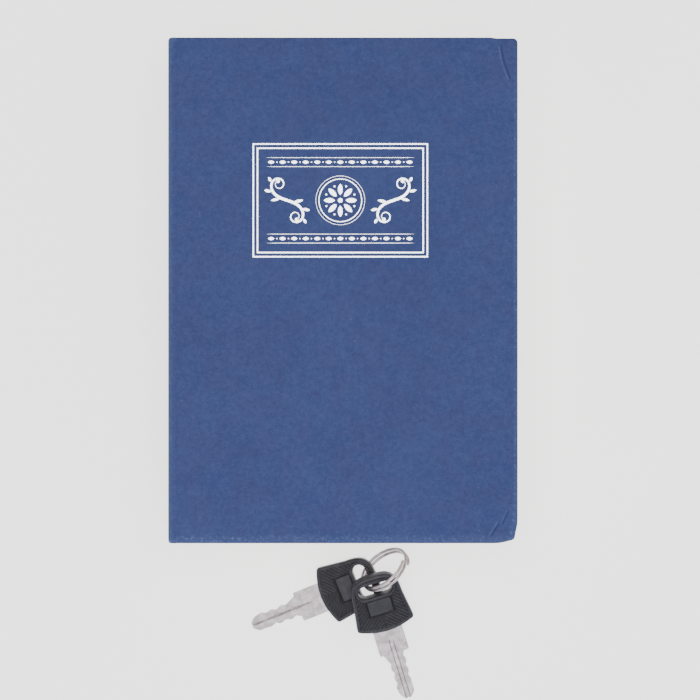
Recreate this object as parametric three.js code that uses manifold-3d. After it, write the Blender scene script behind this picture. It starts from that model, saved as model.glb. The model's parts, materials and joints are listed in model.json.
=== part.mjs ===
// A book diversion safe: a hardback book case around a cut-out page block, with a lockable steel box sunk in
// the pages, and its two keys on a split ring beside it. Millimetres, +Z up.
// The book lies on its back cover. The spine is at -X, the head of the book at +Y, the front cover on top.
// The origin is the middle of the back cover's outer face.
import * as THREE from "three";
import { mergeVertices } from "three/addons/utils/BufferGeometryUtils.js";
import Module from "manifold-3d";

const wasm = await Module();
wasm.setup();

// General clearances
const pasteGap = 0.02; // between two surfaces glued or welded face to face
const slideGap = 0.35; // between the lid's skirt and the tray, and around the lid
const fitGap = 0.3; // around a part held in another inside a turned group
const overrun = 5; // how far a cutting tool runs past what it cuts
const roundSides = 32;
const smallRoundSides = 16;
const curveSteps = 8; // along each arc of an outline

// Book case: board wrapped in book cloth paper
const bookWidth = 124.5;
const bookHeight = 180;
const bookThickness = 55;
const boardThickness = 2.4;
const wrapThickness = 0.3;
const foreCornerRadius = 1.8;
const turnInWidth = 13;
const endpaperThickness = 0.2;
const endpaperMargin = 4;

// Page block
const blockInset = 4; // how far the covers overhang the pages
const foreMargin = 13.5; // paper left between the window and the fore edge
const headMargin = 13.5; // paper left between the window and the head, and the tail
const spineMargin = 10; // paper left between the window and the spine

// Steel box
const sheetThickness = 0.8;
const lidRecess = 3; // how far the lid lies below the top page
const lidSkirtDepth = 6;
const lidRearSetback = 0.5; // of the lid's rear edge, in front of the hinge axis
const lidSkirtStart = 2.2; // the side skirts start this far in front of the hinge axis
const lidOpenAngle = THREE.MathUtils.degToRad(105);
const trayTopGap = 0.5; // under the lid's plate
const rearWallDrop = 1.4; // from the hinge axis down to the top of the rear wall

// Lid hinges
const hingeFromEnd = 28.2; // from the inside of the tray's end to the middle of the hinge
const hingeLength = 30;
const knuckleRadius = 1.5;
const knuckleGap = 0.3;
const leafThickness = 0.6;
const hingePinRadius = 0.8;
const hingePinHeadRadius = 1.25;
const hingePinHeadLength = 0.6;
const hingePinClearance = 0.1;
const boxLeafDepth = 13;
const lidLeafDepth = 12;

// Cam lock in the lid
const lockFromForeWall = 16.4;
const barrelRadius = 8;
const barrelFlat = 7; // from the axis to each flat side
const barrelLength = 17;
const bezelRadius = 9.2;
const bezelHeight = 1.5;
const bezelChamfer = 0.5;
const plugRadius = 5.9;
const plugHeadRadius = 6.8;
const plugHeadDepth = 1.2; // of the plug's head below the bezel's face
const plugProud = 0.3; // of the plug's face above the bezel's face
const plugTailLength = 0.3;
const plugClearance = 0.1;
const plugDriveSide = 6;
const plugDriveLength = 2;
const keywayLength = 7.6;
const keywayWidth = 2.4;
const keywayDepth = 14;
const lidHoleClearance = 0.15;
const lockWasherRadius = 10.6;
const lockWasherThickness = 0.6;
const nutAcrossFlats = 20;
const nutThickness = 3.5;
const camThickness = 1.6;
const camHubRadius = 6.5;
const camArmWidth = 9;
const camReach = 15.4;
const camPlay = 0.1;
const camWasherRadius = 5.2;
const camWasherThickness = 0.5;
const screwHeadRadius = 4;
const screwHeadHeight = 2.2;
const screwHeadEdge = 1.1;
const screwShankRadius = 1.5;
const screwShankLength = 6;
const screwClearance = 0.1;
const screwSlotWidth = 0.9;
const screwSlotDepth = 0.9;

// Strike bracket on the fore wall, which the cam turns under
const strikeWidth = 30;
const strikeThickness = 1;
const strikeLegDepth = 7;
const strikeHeight = 9;
const strikeCamGap = 0.5;

// Keys: x runs from the blade to the rounded end of the moulded head
const headLength = 22.5;
const headWidth = 22;
const headEndWidth = 19;
const headThickness = 4.7;
const headShoulderBow = 2.6; // how far the edge at the blade bows out between its corners
const headRoundStart = 13.5;
const slotLength = 13;
const slotWidth = 5;
const slotWall = 3;
const panelLength = 6.5;
const panelWidth = 10;
const panelDepth = 0.4;
const panelFromShoulder = 7;
const bladeThickness = 2;
const bladeLength = 28.5;
const shoulderLength = 9.5;
const shoulderWidth = 11.2;
const shoulderBite = 2.4; // how deep the shoulder sits in the head
const shankWidth = 7;
const tangLength = 9;
const tangWidth = 7.6;
const tipFlatWidth = 2;
const tipTaper = 2.6;
const bittingDepth = 1.3;
const grooveWidth = 1.3;
const grooveDepth = 0.5;
const bittingShares = [0.1, 0.75, 0.35, 0.95, 0.45, 0.8, 0.2]; // cut depths from shoulder to tip
const backBittingShares = [0.6, 0.15, 0.7, 0.3, 0.85, 0.4, 0.55];

// Split ring, leaning over the heads of the keys
const ringMeanRadius = 9.5;
const ringWire = 1.2;
const ringTurns = 2;
const ringTurnGap = 0.45;
const ringStepsPerTurn = 24;
const ringWireSides = 6;
const ringLean = THREE.MathUtils.degToRad(60); // from the table
const ringHeading = THREE.MathUtils.degToRad(40); // of its level diameter, from +X
const ringSplitAngle = THREE.MathUtils.degToRad(35); // where the wire starts and ends
const ringCentreX = 15.5;
const ringFromBook = 13.2; // from the tail edge of the covers to the ring's centre

// Keys on the ring
const leftKeyHeading = THREE.MathUtils.degToRad(22.5);
const rightKeyHeading = THREE.MathUtils.degToRad(107);
const leftSlotShare = 0; // where the ring crosses the slot, as a share of its half length
const rightSlotShare = 0.2;
const leftBarRise = 1.4; // how far the wire has risen where the left head rests on it
const keyRestGap = 0.35;
const headStackGap = 0.6; // over the top of the left head, where the right one crosses it

// Colours from the photograph
const clothBlue = 0x445c8e;
const boardGrey = 0x8d8a80;
const paperWhite = 0xeeeae0;
const pageCream = 0xe9e0c8;
const boxBlack = 0x1b1c1f;
const zincGrey = 0xb9bcc0;
const chromeGrey = 0xd2d4d8;
const plasticBlack = 0x2b2b31;
const nickelGrey = 0xcfcad0;

// Derived levels and places
const coverThickness = boardThickness + 2 * wrapThickness;
const spineOuterX = -bookWidth / 2;
const foreX = bookWidth / 2;
const jointX = spineOuterX + coverThickness;
const halfHeight = bookHeight / 2;
const blockBottom = coverThickness + endpaperThickness + pasteGap;
const blockTop = bookThickness - blockBottom;
const blockForeX = foreX - blockInset;
const windowLeft = jointX + spineMargin;
const windowRight = blockForeX - foreMargin;
const windowHalf = halfHeight - blockInset - headMargin;
const lidTop = blockTop - lidRecess;
const lidUnder = lidTop - sheetThickness;
const hingeAxisZ = lidUnder - pasteGap - knuckleRadius;

// Room behind the hinge axis for the lid's top face to swing past the top edge of the page window.
const plateRise = lidTop - hingeAxisZ;
const pageRise = blockTop - hingeAxisZ;
const swingRoom =
  plateRise * Math.sin(lidOpenAngle) -
  (pageRise - plateRise * Math.cos(lidOpenAngle)) / Math.tan(lidOpenAngle);
const hingeAxisX = windowLeft + swingRoom + slideGap;
const lidForeX = windowRight - slideGap;
const lidHalf = windowHalf - slideGap;
const trayForeX = lidForeX - sheetThickness - slideGap;
const trayHalf = lidHalf - sheetThickness - slideGap;
const trayRearInner = hingeAxisX - knuckleRadius - pasteGap;
const trayRearX = trayRearInner - sheetThickness;
const trayForeInner = trayForeX - sheetThickness;
const trayTop = lidUnder - trayTopGap;
const lockX = trayForeInner - lockFromForeWall;
const hingeMiddle = trayHalf - sheetThickness - hingeFromEnd;
const camTop = lidTop - barrelLength - plugTailLength - camPlay;

// Manifold helpers

// A closed three.js geometry as a manifold-3d solid.
function solid(geometry) {
  const bare = geometry.clone();
  bare.deleteAttribute("normal");
  bare.deleteAttribute("uv");
  const merged = mergeVertices(bare);
  return new wasm.Manifold(
    new wasm.Mesh({
      numProp: 3,
      vertProperties: merged.attributes.position.array,
      triVerts: new Uint32Array(merged.index.array),
    }),
  );
}

// A manifold-3d solid as a three.js geometry.
function geometryOf(made) {
  const mesh = made.getMesh();
  const geometry = new THREE.BufferGeometry();
  geometry.setAttribute("position", new THREE.BufferAttribute(mesh.vertProperties, 3));
  geometry.setIndex(new THREE.BufferAttribute(mesh.triVerts, 1));
  geometry.computeVertexNormals();
  return geometry;
}

// A block between two corners.
function block(x0, x1, y0, y1, z0, z1) {
  const box = new THREE.BoxGeometry(x1 - x0, y1 - y0, z1 - z0);
  box.translate((x0 + x1) / 2, (y0 + y1) / 2, (z0 + z1) / 2);
  return solid(box);
}

// A shape in the XY plane, pulled up from z0 to z1.
function prism(shape, z0, z1) {
  const pulled = new THREE.ExtrudeGeometry(shape, {
    depth: z1 - z0,
    bevelEnabled: false,
    curveSegments: curveSteps,
  });
  pulled.translate(0, 0, z0);
  return solid(pulled);
}

// A profile of [radius, height] points turned about the Z axis.
function turned(points, sides = roundSides) {
  const lathe = new THREE.LatheGeometry(
    points.map(([radius, height]) => new THREE.Vector2(radius, height)),
    sides,
  );
  lathe.rotateX(Math.PI / 2);
  return solid(lathe);
}

// A solid rod on the Z axis.
function rod(radius, z0, z1, sides = roundSides) {
  return turned([[0, z0], [radius, z0], [radius, z1], [0, z1]], sides);
}

// A rod along Y on the lid's hinge axis.
function hingeRod(radius, y0, y1, sides = smallRoundSides) {
  const geometry = new THREE.CylinderGeometry(radius, radius, y1 - y0, sides);
  geometry.translate(hingeAxisX, (y0 + y1) / 2, hingeAxisZ);
  return solid(geometry);
}

const safe = new THREE.Group();

function finish(color, roughness, metalness) {
  return new THREE.MeshStandardMaterial({ color, roughness, metalness });
}

const clothFinish = finish(clothBlue, 0.85, 0);
const boardFinish = finish(boardGrey, 0.95, 0);
const paperFinish = finish(paperWhite, 0.9, 0);
const pageFinish = finish(pageCream, 0.95, 0);
const boxFinish = finish(boxBlack, 0.45, 0.1);
const zincFinish = finish(zincGrey, 0.4, 1);
const chromeFinish = finish(chromeGrey, 0.12, 1);
const plasticFinish = finish(plasticBlack, 0.5, 0);
const nickelFinish = finish(nickelGrey, 0.3, 1);

// A named piece in a group.
function piece(name, made, material, group = safe) {
  const mesh = new THREE.Mesh(geometryOf(made), material);
  mesh.name = name;
  group.add(mesh);
  return mesh;
}

// Book case

// A plate from x0 to x1 with its two corners at x1 rounded.
function foreRoundedShape(x0, x1, half, radius) {
  const shape = new THREE.Shape();
  shape.moveTo(x0, -half);
  shape.lineTo(x1 - radius, -half);
  shape.absarc(x1 - radius, radius - half, radius, -Math.PI / 2, 0, false);
  shape.absarc(x1 - radius, half - radius, radius, 0, Math.PI / 2, false);
  shape.lineTo(x0, half);
  return shape;
}

// One cover, outer face down: the board, the wrap folded round three edges, and the sheet pasted inside.
function coverPieces(side, group) {
  const edgeX = jointX + pasteGap;
  const wrapOuter = prism(foreRoundedShape(edgeX, foreX, halfHeight, foreCornerRadius), 0, coverThickness);
  const wrapInner = prism(
    foreRoundedShape(
      jointX - overrun,
      foreX - wrapThickness,
      halfHeight - wrapThickness,
      foreCornerRadius - wrapThickness,
    ),
    wrapThickness,
    coverThickness - wrapThickness,
  );
  const turnInWindow = block(
    jointX - overrun,
    foreX - turnInWidth,
    turnInWidth - halfHeight,
    halfHeight - turnInWidth,
    boardThickness / 2,
    coverThickness + overrun,
  );
  const boardInset = wrapThickness + pasteGap;
  const board = prism(
    foreRoundedShape(edgeX, foreX - boardInset, halfHeight - boardInset, foreCornerRadius - boardInset),
    boardInset,
    coverThickness - boardInset,
  );
  const endpaper = block(
    edgeX,
    foreX - endpaperMargin,
    endpaperMargin - halfHeight,
    halfHeight - endpaperMargin,
    coverThickness + pasteGap / 2,
    coverThickness + endpaperThickness,
  );
  piece(side + "_cover_board", board, boardFinish, group);
  piece(side + "_cover_wrap", wrapOuter.subtract(wrapInner).subtract(turnInWindow), clothFinish, group);
  piece(side + "_endpaper", endpaper, paperFinish, group);
}

// The quarter-round strip of cloth that joins a cover to the spine, outer face down.
function jointCloth(side, group) {
  const arc = new THREE.Shape();
  arc.absarc(0, 0, coverThickness, Math.PI, 1.5 * Math.PI, false);
  arc.absarc(0, 0, coverThickness - wrapThickness, 1.5 * Math.PI, Math.PI, true);
  const strip = new THREE.ExtrudeGeometry(arc, {
    depth: bookHeight,
    bevelEnabled: false,
    curveSegments: curveSteps,
  });
  strip.rotateX(Math.PI / 2);
  strip.translate(jointX, halfHeight, coverThickness);
  piece(side + "_joint_cloth", solid(strip), clothFinish, group);
}

function bookCase() {
  const back = new THREE.Group();
  coverPieces("back", back);
  jointCloth("back", back);
  const front = new THREE.Group();
  coverPieces("front", front);
  jointCloth("front", front);
  front.rotation.x = Math.PI;
  front.position.z = bookThickness;
  safe.add(back, front);

  // The spine stands between the two joints.
  const spineBottom = coverThickness + pasteGap;
  const spineTop = bookThickness - spineBottom;
  const boardInset = wrapThickness + pasteGap;
  const spineBoard = block(
    spineOuterX + boardInset,
    jointX - boardInset,
    boardInset - halfHeight,
    halfHeight - boardInset,
    spineBottom,
    spineTop,
  );
  const spineOuter = block(spineOuterX, jointX, -halfHeight, halfHeight, spineBottom, spineTop);
  const spineInner = block(
    spineOuterX + wrapThickness,
    jointX - wrapThickness,
    wrapThickness - halfHeight,
    halfHeight - wrapThickness,
    spineBottom - overrun,
    spineTop + overrun,
  );
  const spineWindow = block(
    (spineOuterX + jointX) / 2,
    jointX + overrun,
    turnInWidth - halfHeight,
    halfHeight - turnInWidth,
    spineBottom - overrun,
    spineTop + overrun,
  );
  piece("spine_board", spineBoard, boardFinish);
  piece("spine_wrap", spineOuter.subtract(spineInner).subtract(spineWindow), clothFinish);
}

// The glued pages, cut out for the steel box.
function pageBlock() {
  const paper = block(
    jointX + pasteGap,
    blockForeX,
    blockInset - halfHeight,
    halfHeight - blockInset,
    blockBottom,
    blockTop,
  );
  const boxWindow = block(
    windowLeft,
    windowRight,
    -windowHalf,
    windowHalf,
    blockBottom - overrun,
    blockTop + overrun,
  );
  piece("page_block", paper.subtract(boxWindow), pageFinish);
}

// Steel box

function steelTray() {
  const outer = block(trayRearX, trayForeX, -trayHalf, trayHalf, blockBottom, trayTop);
  const inner = block(
    trayRearInner,
    trayForeInner,
    sheetThickness - trayHalf,
    trayHalf - sheetThickness,
    blockBottom + sheetThickness,
    trayTop + overrun,
  );
  // The rear wall and its corners stay below the swing of the lid's rear edge.
  const rearRelief = block(
    trayRearX - overrun,
    hingeAxisX + knuckleGap,
    -trayHalf - overrun,
    trayHalf + overrun,
    hingeAxisZ - rearWallDrop,
    trayTop + overrun,
  );
  piece("steel_tray", outer.subtract(inner).subtract(rearRelief), boxFinish);
}

// The round barrel with its two flats, a clearance larger all round.
function doubleDee(clearance, z0, z1) {
  const flat = barrelFlat + clearance;
  const radius = barrelRadius + clearance;
  const across = radius + overrun;
  return rod(radius, z0, z1).intersect(block(-flat, flat, -across, across, z0 - overrun, z1 + overrun));
}

function steelLid() {
  const plate = block(hingeAxisX + lidRearSetback, lidForeX, -lidHalf, lidHalf, lidUnder, lidTop);
  const skirtBottom = lidTop - lidSkirtDepth;
  const skirtBlock = block(
    hingeAxisX + lidSkirtStart,
    lidForeX,
    -lidHalf,
    lidHalf,
    skirtBottom,
    lidUnder + sheetThickness / 2,
  );
  const skirtRoom = block(
    hingeAxisX,
    lidForeX - sheetThickness,
    sheetThickness - lidHalf,
    lidHalf - sheetThickness,
    skirtBottom - overrun,
    lidUnder,
  );
  const lockHole = doubleDee(lidHoleClearance, -overrun, overrun).translate([lockX, 0, lidUnder]);
  piece("steel_lid", plate.add(skirtBlock.subtract(skirtRoom)).subtract(lockHole), boxFinish);
}

// One butt hinge: two knuckles on the box leaf, one between them on the lid leaf, and the pin.
function lidHinge(label, middleY) {
  const start = middleY - hingeLength / 2;
  const end = middleY + hingeLength / 2;
  const knuckleLength = (hingeLength - 2 * knuckleGap) / 3;
  const firstEnd = start + knuckleLength;
  const lastStart = end - knuckleLength;
  const bore = hingeRod(hingePinRadius + hingePinClearance, start - overrun, end + overrun);

  const boxSheet = block(
    hingeAxisX - knuckleRadius,
    hingeAxisX - knuckleRadius + leafThickness,
    start,
    end,
    hingeAxisZ - boxLeafDepth,
    hingeAxisZ,
  );
  const boxNotch = block(
    hingeAxisX - knuckleRadius - overrun,
    hingeAxisX + knuckleRadius,
    firstEnd,
    lastStart,
    hingeAxisZ - knuckleRadius - knuckleGap,
    hingeAxisZ + knuckleRadius,
  );
  const boxKnuckles = hingeRod(knuckleRadius, start, firstEnd).add(hingeRod(knuckleRadius, lastStart, end));
  const boxLeaf = boxSheet.subtract(boxNotch).add(boxKnuckles).subtract(bore);
  piece(label + "_hinge_box_leaf", boxLeaf, zincFinish);

  const lidSheet = block(
    hingeAxisX,
    hingeAxisX + lidLeafDepth,
    start,
    end,
    hingeAxisZ + knuckleRadius - leafThickness,
    hingeAxisZ + knuckleRadius,
  );
  const notchReach = hingeAxisX + knuckleRadius + knuckleGap;
  const notchTop = hingeAxisZ + knuckleRadius + overrun;
  const middleStart = firstEnd + knuckleGap;
  const middleEnd = lastStart - knuckleGap;
  const lidNotches = block(
    hingeAxisX - overrun,
    notchReach,
    start - overrun,
    middleStart,
    hingeAxisZ,
    notchTop,
  ).add(block(hingeAxisX - overrun, notchReach, middleEnd, end + overrun, hingeAxisZ, notchTop));
  const lidKnuckle = hingeRod(knuckleRadius, middleStart, middleEnd);
  const lidLeaf = lidSheet.subtract(lidNotches).add(lidKnuckle).subtract(bore);
  piece(label + "_hinge_lid_leaf", lidLeaf, zincFinish);

  const pinReach = pasteGap + hingePinHeadLength / 2;
  const pin = hingeRod(hingePinRadius, start - pinReach, end + pinReach)
    .add(hingeRod(hingePinHeadRadius, start - pasteGap - hingePinHeadLength, start - pasteGap))
    .add(hingeRod(hingePinHeadRadius, end + pasteGap, end + pasteGap + hingePinHeadLength));
  piece(label + "_hinge_pin", pin, zincFinish);
}

// Cam lock: heights are from the lid's top face
function camLock() {
  const lock = new THREE.Group();
  lock.position.set(lockX, 0, lidTop);
  safe.add(lock);

  const boreRadius = plugRadius + plugClearance;
  const seatRadius = plugHeadRadius + plugClearance;
  const seatHeight = bezelHeight - plugHeadDepth;
  const bezel = turned([
    [boreRadius, pasteGap],
    [bezelRadius, pasteGap],
    [bezelRadius, bezelHeight - bezelChamfer],
    [bezelRadius - bezelChamfer, bezelHeight],
    [seatRadius, bezelHeight],
    [seatRadius, seatHeight],
    [boreRadius, seatHeight],
    [boreRadius, pasteGap],
  ]);
  const body = doubleDee(0, -barrelLength, seatHeight / 2);
  const bore = rod(boreRadius, -barrelLength - overrun, overrun);
  piece("lock_barrel", bezel.add(body.subtract(bore)), chromeFinish, lock);

  const headUnder = seatHeight + pasteGap;
  const tailEnd = -barrelLength - plugTailLength;
  const driveEnd = tailEnd - plugDriveLength;
  const plugCore = turned([
    [0, tailEnd],
    [plugRadius, tailEnd],
    [plugRadius, headUnder],
    [plugHeadRadius, headUnder],
    [plugHeadRadius, bezelHeight],
    [plugHeadRadius - plugProud, bezelHeight + plugProud],
    [0, bezelHeight + plugProud],
  ]);
  const driveHalf = plugDriveSide / 2;
  const drive = block(-driveHalf, driveHalf, -driveHalf, driveHalf, driveEnd, tailEnd + plugTailLength);
  const keyway = block(
    -keywayWidth / 2,
    keywayWidth / 2,
    -keywayLength / 2,
    keywayLength / 2,
    bezelHeight - keywayDepth,
    bezelHeight + overrun,
  );
  const washerEnd = driveEnd - pasteGap - camWasherThickness;
  const screwSeat = washerEnd - pasteGap;
  const screwTip = screwSeat + screwShankLength;
  const screwHole = rod(
    screwShankRadius + screwClearance,
    driveEnd - overrun,
    screwTip + screwClearance,
    smallRoundSides,
  );
  piece("lock_plug", plugCore.add(drive).subtract(keyway).subtract(screwHole), chromeFinish, lock);

  const underLid = -sheetThickness - pasteGap;
  const washerHole = doubleDee(lidHoleClearance, -barrelLength, overrun);
  const lockWasher = rod(lockWasherRadius, underLid - lockWasherThickness, underLid).subtract(washerHole);
  piece("lock_washer", lockWasher, zincFinish, lock);

  const nutTop = underLid - lockWasherThickness - pasteGap;
  const nutCorner = nutAcrossFlats / Math.sqrt(3);
  const nut = rod(nutCorner, nutTop - nutThickness, nutTop, 6).subtract(
    rod(barrelRadius + lidHoleClearance, nutTop - nutThickness - overrun, nutTop + overrun),
  );
  piece("lock_nut", nut, zincFinish, lock);

  // The cam points along the fore edge at rest, which is the unlocked position.
  const camBottom = camTop - lidTop - camThickness;
  const arm = new THREE.Shape();
  const armHalf = camArmWidth / 2;
  arm.moveTo(-armHalf, 0);
  arm.lineTo(armHalf, 0);
  arm.lineTo(armHalf, camReach - armHalf);
  arm.absarc(0, camReach - armHalf, armHalf, 0, Math.PI, false);
  const driveHole = driveHalf + camPlay;
  const cam = prism(arm, camBottom, camTop - lidTop)
    .add(rod(camHubRadius, camBottom, camTop - lidTop))
    .subtract(block(
      -driveHole, driveHole, -driveHole, driveHole, camBottom - overrun, camTop - lidTop + overrun));
  piece("lock_cam", cam, zincFinish, lock);

  const camWasher = rod(camWasherRadius, washerEnd, washerEnd + camWasherThickness).subtract(
    rod(screwShankRadius + screwClearance, washerEnd - overrun, washerEnd + overrun, smallRoundSides),
  );
  piece("cam_washer", camWasher, zincFinish, lock);

  const screw = turned([
    [0, screwSeat - screwHeadHeight],
    [screwHeadRadius / 2, screwSeat - screwHeadHeight],
    [screwHeadRadius, screwSeat - screwHeadEdge],
    [screwHeadRadius, screwSeat],
    [screwShankRadius, screwSeat],
    [screwShankRadius, screwTip],
    [0, screwTip],
  ]);
  const screwSlot = block(
    -screwHeadRadius - overrun,
    screwHeadRadius + overrun,
    -screwSlotWidth / 2,
    screwSlotWidth / 2,
    screwSeat - screwHeadHeight - overrun,
    screwSeat - screwHeadHeight + screwSlotDepth,
  );
  piece("cam_screw", screw.subtract(screwSlot), zincFinish, lock);
}

function strikeBracket() {
  const wallFace = trayForeInner - pasteGap;
  const legBottom = camTop + strikeCamGap;
  const leg = block(
    wallFace - strikeLegDepth,
    wallFace,
    -strikeWidth / 2,
    strikeWidth / 2,
    legBottom,
    legBottom + strikeThickness,
  );
  const upright = block(
    wallFace - strikeThickness,
    wallFace,
    -strikeWidth / 2,
    strikeWidth / 2,
    legBottom,
    legBottom + strikeHeight,
  );
  piece("strike_bracket", leg.add(upright), zincFinish);
}

// Keys and ring

// The head's outline: bowed at the blade, straight sides that draw in, and a rounded end.
function headOutline() {
  const half = headWidth / 2;
  const endHalf = headEndWidth / 2;
  const shape = new THREE.Shape();
  shape.moveTo(headShoulderBow, half);
  shape.quadraticCurveTo(-headShoulderBow, 0, headShoulderBow, -half);
  shape.lineTo(headRoundStart, -endHalf);
  shape.bezierCurveTo(headLength, -endHalf, headLength, -endHalf / 2, headLength, 0);
  shape.bezierCurveTo(headLength, endHalf / 2, headLength, endHalf, headRoundStart, endHalf);
  return shape;
}

const slotX = headLength - slotWall - slotWidth / 2;

function keyHead() {
  const half = headThickness / 2;
  const straight = (slotLength - slotWidth) / 2;
  const slot = new THREE.Shape();
  slot.absarc(slotX, straight, slotWidth / 2, 0, Math.PI, false);
  slot.absarc(slotX, -straight, slotWidth / 2, Math.PI, 2 * Math.PI, false);
  const panel = (z0, z1) =>
    block(
      panelFromShoulder,
      panelFromShoulder + panelLength,
      -panelWidth / 2,
      panelWidth / 2,
      z0,
      z1,
    );
  const pocketHalf = bladeThickness / 2 + fitGap;
  const pocket = block(
    -overrun,
    shoulderBite + fitGap,
    -shoulderWidth / 2 - fitGap,
    shoulderWidth / 2 + fitGap,
    -pocketHalf,
    pocketHalf,
  ).add(block(
    -overrun, tangLength + fitGap, -tangWidth / 2 - fitGap, tangWidth / 2 + fitGap,
    -pocketHalf, pocketHalf));
  return prism(headOutline(), -half, half)
    .subtract(prism(slot, -half - overrun, half + overrun))
    .subtract(panel(half - panelDepth, half + overrun))
    .subtract(panel(-half - overrun, panelDepth - half))
    .subtract(pocket);
}

// The blade: tang, wide shoulder, then a narrow shank with its bitting and a tapered tip.
function keyBlade() {
  const half = shankWidth / 2;
  const cutStart = -shoulderLength;
  const cutEnd = tipTaper - bladeLength;
  const station = (i, count) => cutStart + ((cutEnd - cutStart) * (i + 1)) / (count + 1);
  const shape = new THREE.Shape();
  shape.moveTo(tangLength, -tangWidth / 2);
  shape.lineTo(tangLength, tangWidth / 2);
  shape.lineTo(shoulderBite, tangWidth / 2);
  shape.lineTo(shoulderBite, shoulderWidth / 2);
  shape.lineTo(-shoulderLength, shoulderWidth / 2);
  shape.lineTo(-shoulderLength, half);
  bittingShares.forEach((share, i) =>
    shape.lineTo(station(i, bittingShares.length), half - bittingDepth * share),
  );
  shape.lineTo(cutEnd, half - bittingDepth / 2);
  shape.lineTo(-bladeLength, tipFlatWidth / 2);
  shape.lineTo(-bladeLength, -tipFlatWidth / 2);
  shape.lineTo(cutEnd, bittingDepth / 2 - half);
  [...backBittingShares]
    .reverse()
    .forEach((share, i) =>
      shape.lineTo(
        station(backBittingShares.length - 1 - i, backBittingShares.length),
        bittingDepth * share - half,
      ),
    );
  shape.lineTo(-shoulderLength, -half);
  shape.lineTo(-shoulderLength, -shoulderWidth / 2);
  shape.lineTo(shoulderBite, -shoulderWidth / 2);
  shape.lineTo(shoulderBite, -tangWidth / 2);
  const groove = block(
    -bladeLength - overrun,
    -shoulderLength / 2,
    -grooveWidth / 2,
    grooveWidth / 2,
    bladeThickness / 2 - grooveDepth,
    bladeThickness / 2 + overrun,
  );
  return prism(shape, -bladeThickness / 2, bladeThickness / 2).subtract(groove);
}

// The ring's wire: a level-pitched coil about the local Z axis.
class CoilCurve extends THREE.Curve {
  getPoint(share, target = new THREE.Vector3()) {
    const turn = ringTurns * share;
    const angle = ringSplitAngle + 2 * Math.PI * turn;
    return target.set(
      ringMeanRadius * Math.cos(angle),
      ringMeanRadius * Math.sin(angle),
      (turn - ringTurns / 2) * (ringWire + ringTurnGap),
    );
  }
}

function ringWireSolid() {
  const section = new THREE.Shape();
  for (let i = 0; i < ringWireSides; i += 1) {
    const angle = (2 * Math.PI * i) / ringWireSides;
    const x = (ringWire / 2) * Math.cos(angle);
    const y = (ringWire / 2) * Math.sin(angle);
    if (i) section.lineTo(x, y);
    else section.moveTo(x, y);
  }
  const steps = ringTurns * ringStepsPerTurn;
  const curve = new CoilCurve();
  curve.arcLengthDivisions = steps * 4;
  const points = curve.getPoints(steps * 4);
  let least = Infinity;
  points.forEach((a, i) =>
    points.slice(i + ringStepsPerTurn * 2).forEach((b) => {
      least = Math.min(least, a.distanceTo(b) - ringWire);
    }),
  );
  console.log("key ring: least gap of the wire to itself " + least.toFixed(2) + " mm");
  return solid(new THREE.ExtrudeGeometry(section, { steps, bevelEnabled: false, extrudePath: curve }));
}

// How far a key tilts to rest on its tip and on something of height support under its head at x = under.
function keyPitch(support, under) {
  const run = under + bladeLength;
  const rise = (headThickness - bladeThickness) / 2;
  return Math.asin(support / Math.hypot(run, rise)) + Math.atan2(rise, run);
}

function keysOnRing() {
  const stackHalf = (ringTurns / 2) * (ringWire + ringTurnGap);
  const ringUp = Math.sin(ringLean);
  const ringOut = Math.cos(ringLean);
  const centre = new THREE.Vector3(
    ringCentreX,
    -halfHeight - ringFromBook,
    ringMeanRadius * ringUp + stackHalf * ringOut + ringWire / 2,
  );
  const ring = new THREE.Group();
  ring.rotation.set(Math.PI - ringLean, 0, ringHeading, "ZYX");
  ring.position.copy(centre);
  safe.add(ring);
  const wire = piece("key_ring", ringWireSolid(), nickelFinish, ring);
  ring.updateMatrixWorld(true);
  const lowest = new THREE.Box3().setFromObject(wire, true).min.z;
  ring.position.z -= lowest;
  centre.z -= lowest;

  // A key whose slot the ring crosses on the lower left of its circle.
  const hang = (label, heading, pitch, slotShare) => {
    const tipHeight = (bladeThickness / 2) * Math.cos(pitch) + bladeLength * Math.sin(pitch);
    const slotHeight = tipHeight + slotX * Math.sin(pitch);
    const along = (slotHeight - centre.z) / ringUp;
    const across = -Math.sqrt(ringMeanRadius ** 2 - along ** 2);
    const crossing = new THREE.Vector3(
      centre.x + across * Math.cos(ringHeading) + along * ringOut * Math.sin(ringHeading),
      centre.y + across * Math.sin(ringHeading) - along * ringOut * Math.cos(ringHeading),
      slotHeight,
    );
    const key = new THREE.Group();
    key.rotation.set(0, -pitch, heading, "ZYX");
    const slotPoint = new THREE.Vector3(slotX, (slotShare * slotLength) / 2, 0);
    key.position.copy(crossing).sub(slotPoint.applyEuler(key.rotation));
    safe.add(key);
    piece(label + "_key_head", keyHead(), plasticFinish, key);
    piece(label + "_key_blade", keyBlade(), nickelFinish, key);
    console.log(
      label + " key: swing axis x " + crossing.x.toFixed(2) + " y " + crossing.y.toFixed(2) +
        ", pitch " + THREE.MathUtils.radToDeg(pitch).toFixed(1),
    );
    return { pitch, tipHeight };
  };

  // The left head rests on the lowest part of the ring, and the right head on the left one.
  const barX = headLength - slotWall / 2;
  const ringStack = 2 * (stackHalf * ringOut + ringWire / 2);
  const leftSupport = ringStack + leftBarRise + keyRestGap;
  const left = hang("left", leftKeyHeading, keyPitch(leftSupport, barX), leftSlotShare);
  const leftHeadTop =
    left.tipHeight + headLength * Math.sin(left.pitch) + (headThickness / 2) * Math.cos(left.pitch);
  hang("right", rightKeyHeading, keyPitch(leftHeadTop + headStackGap, headRoundStart), rightSlotShare);
}

bookCase();
pageBlock();
steelTray();
steelLid();
lidHinge("head", hingeMiddle);
lidHinge("tail", -hingeMiddle);
camLock();
strikeBracket();
keysOnRing();

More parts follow.
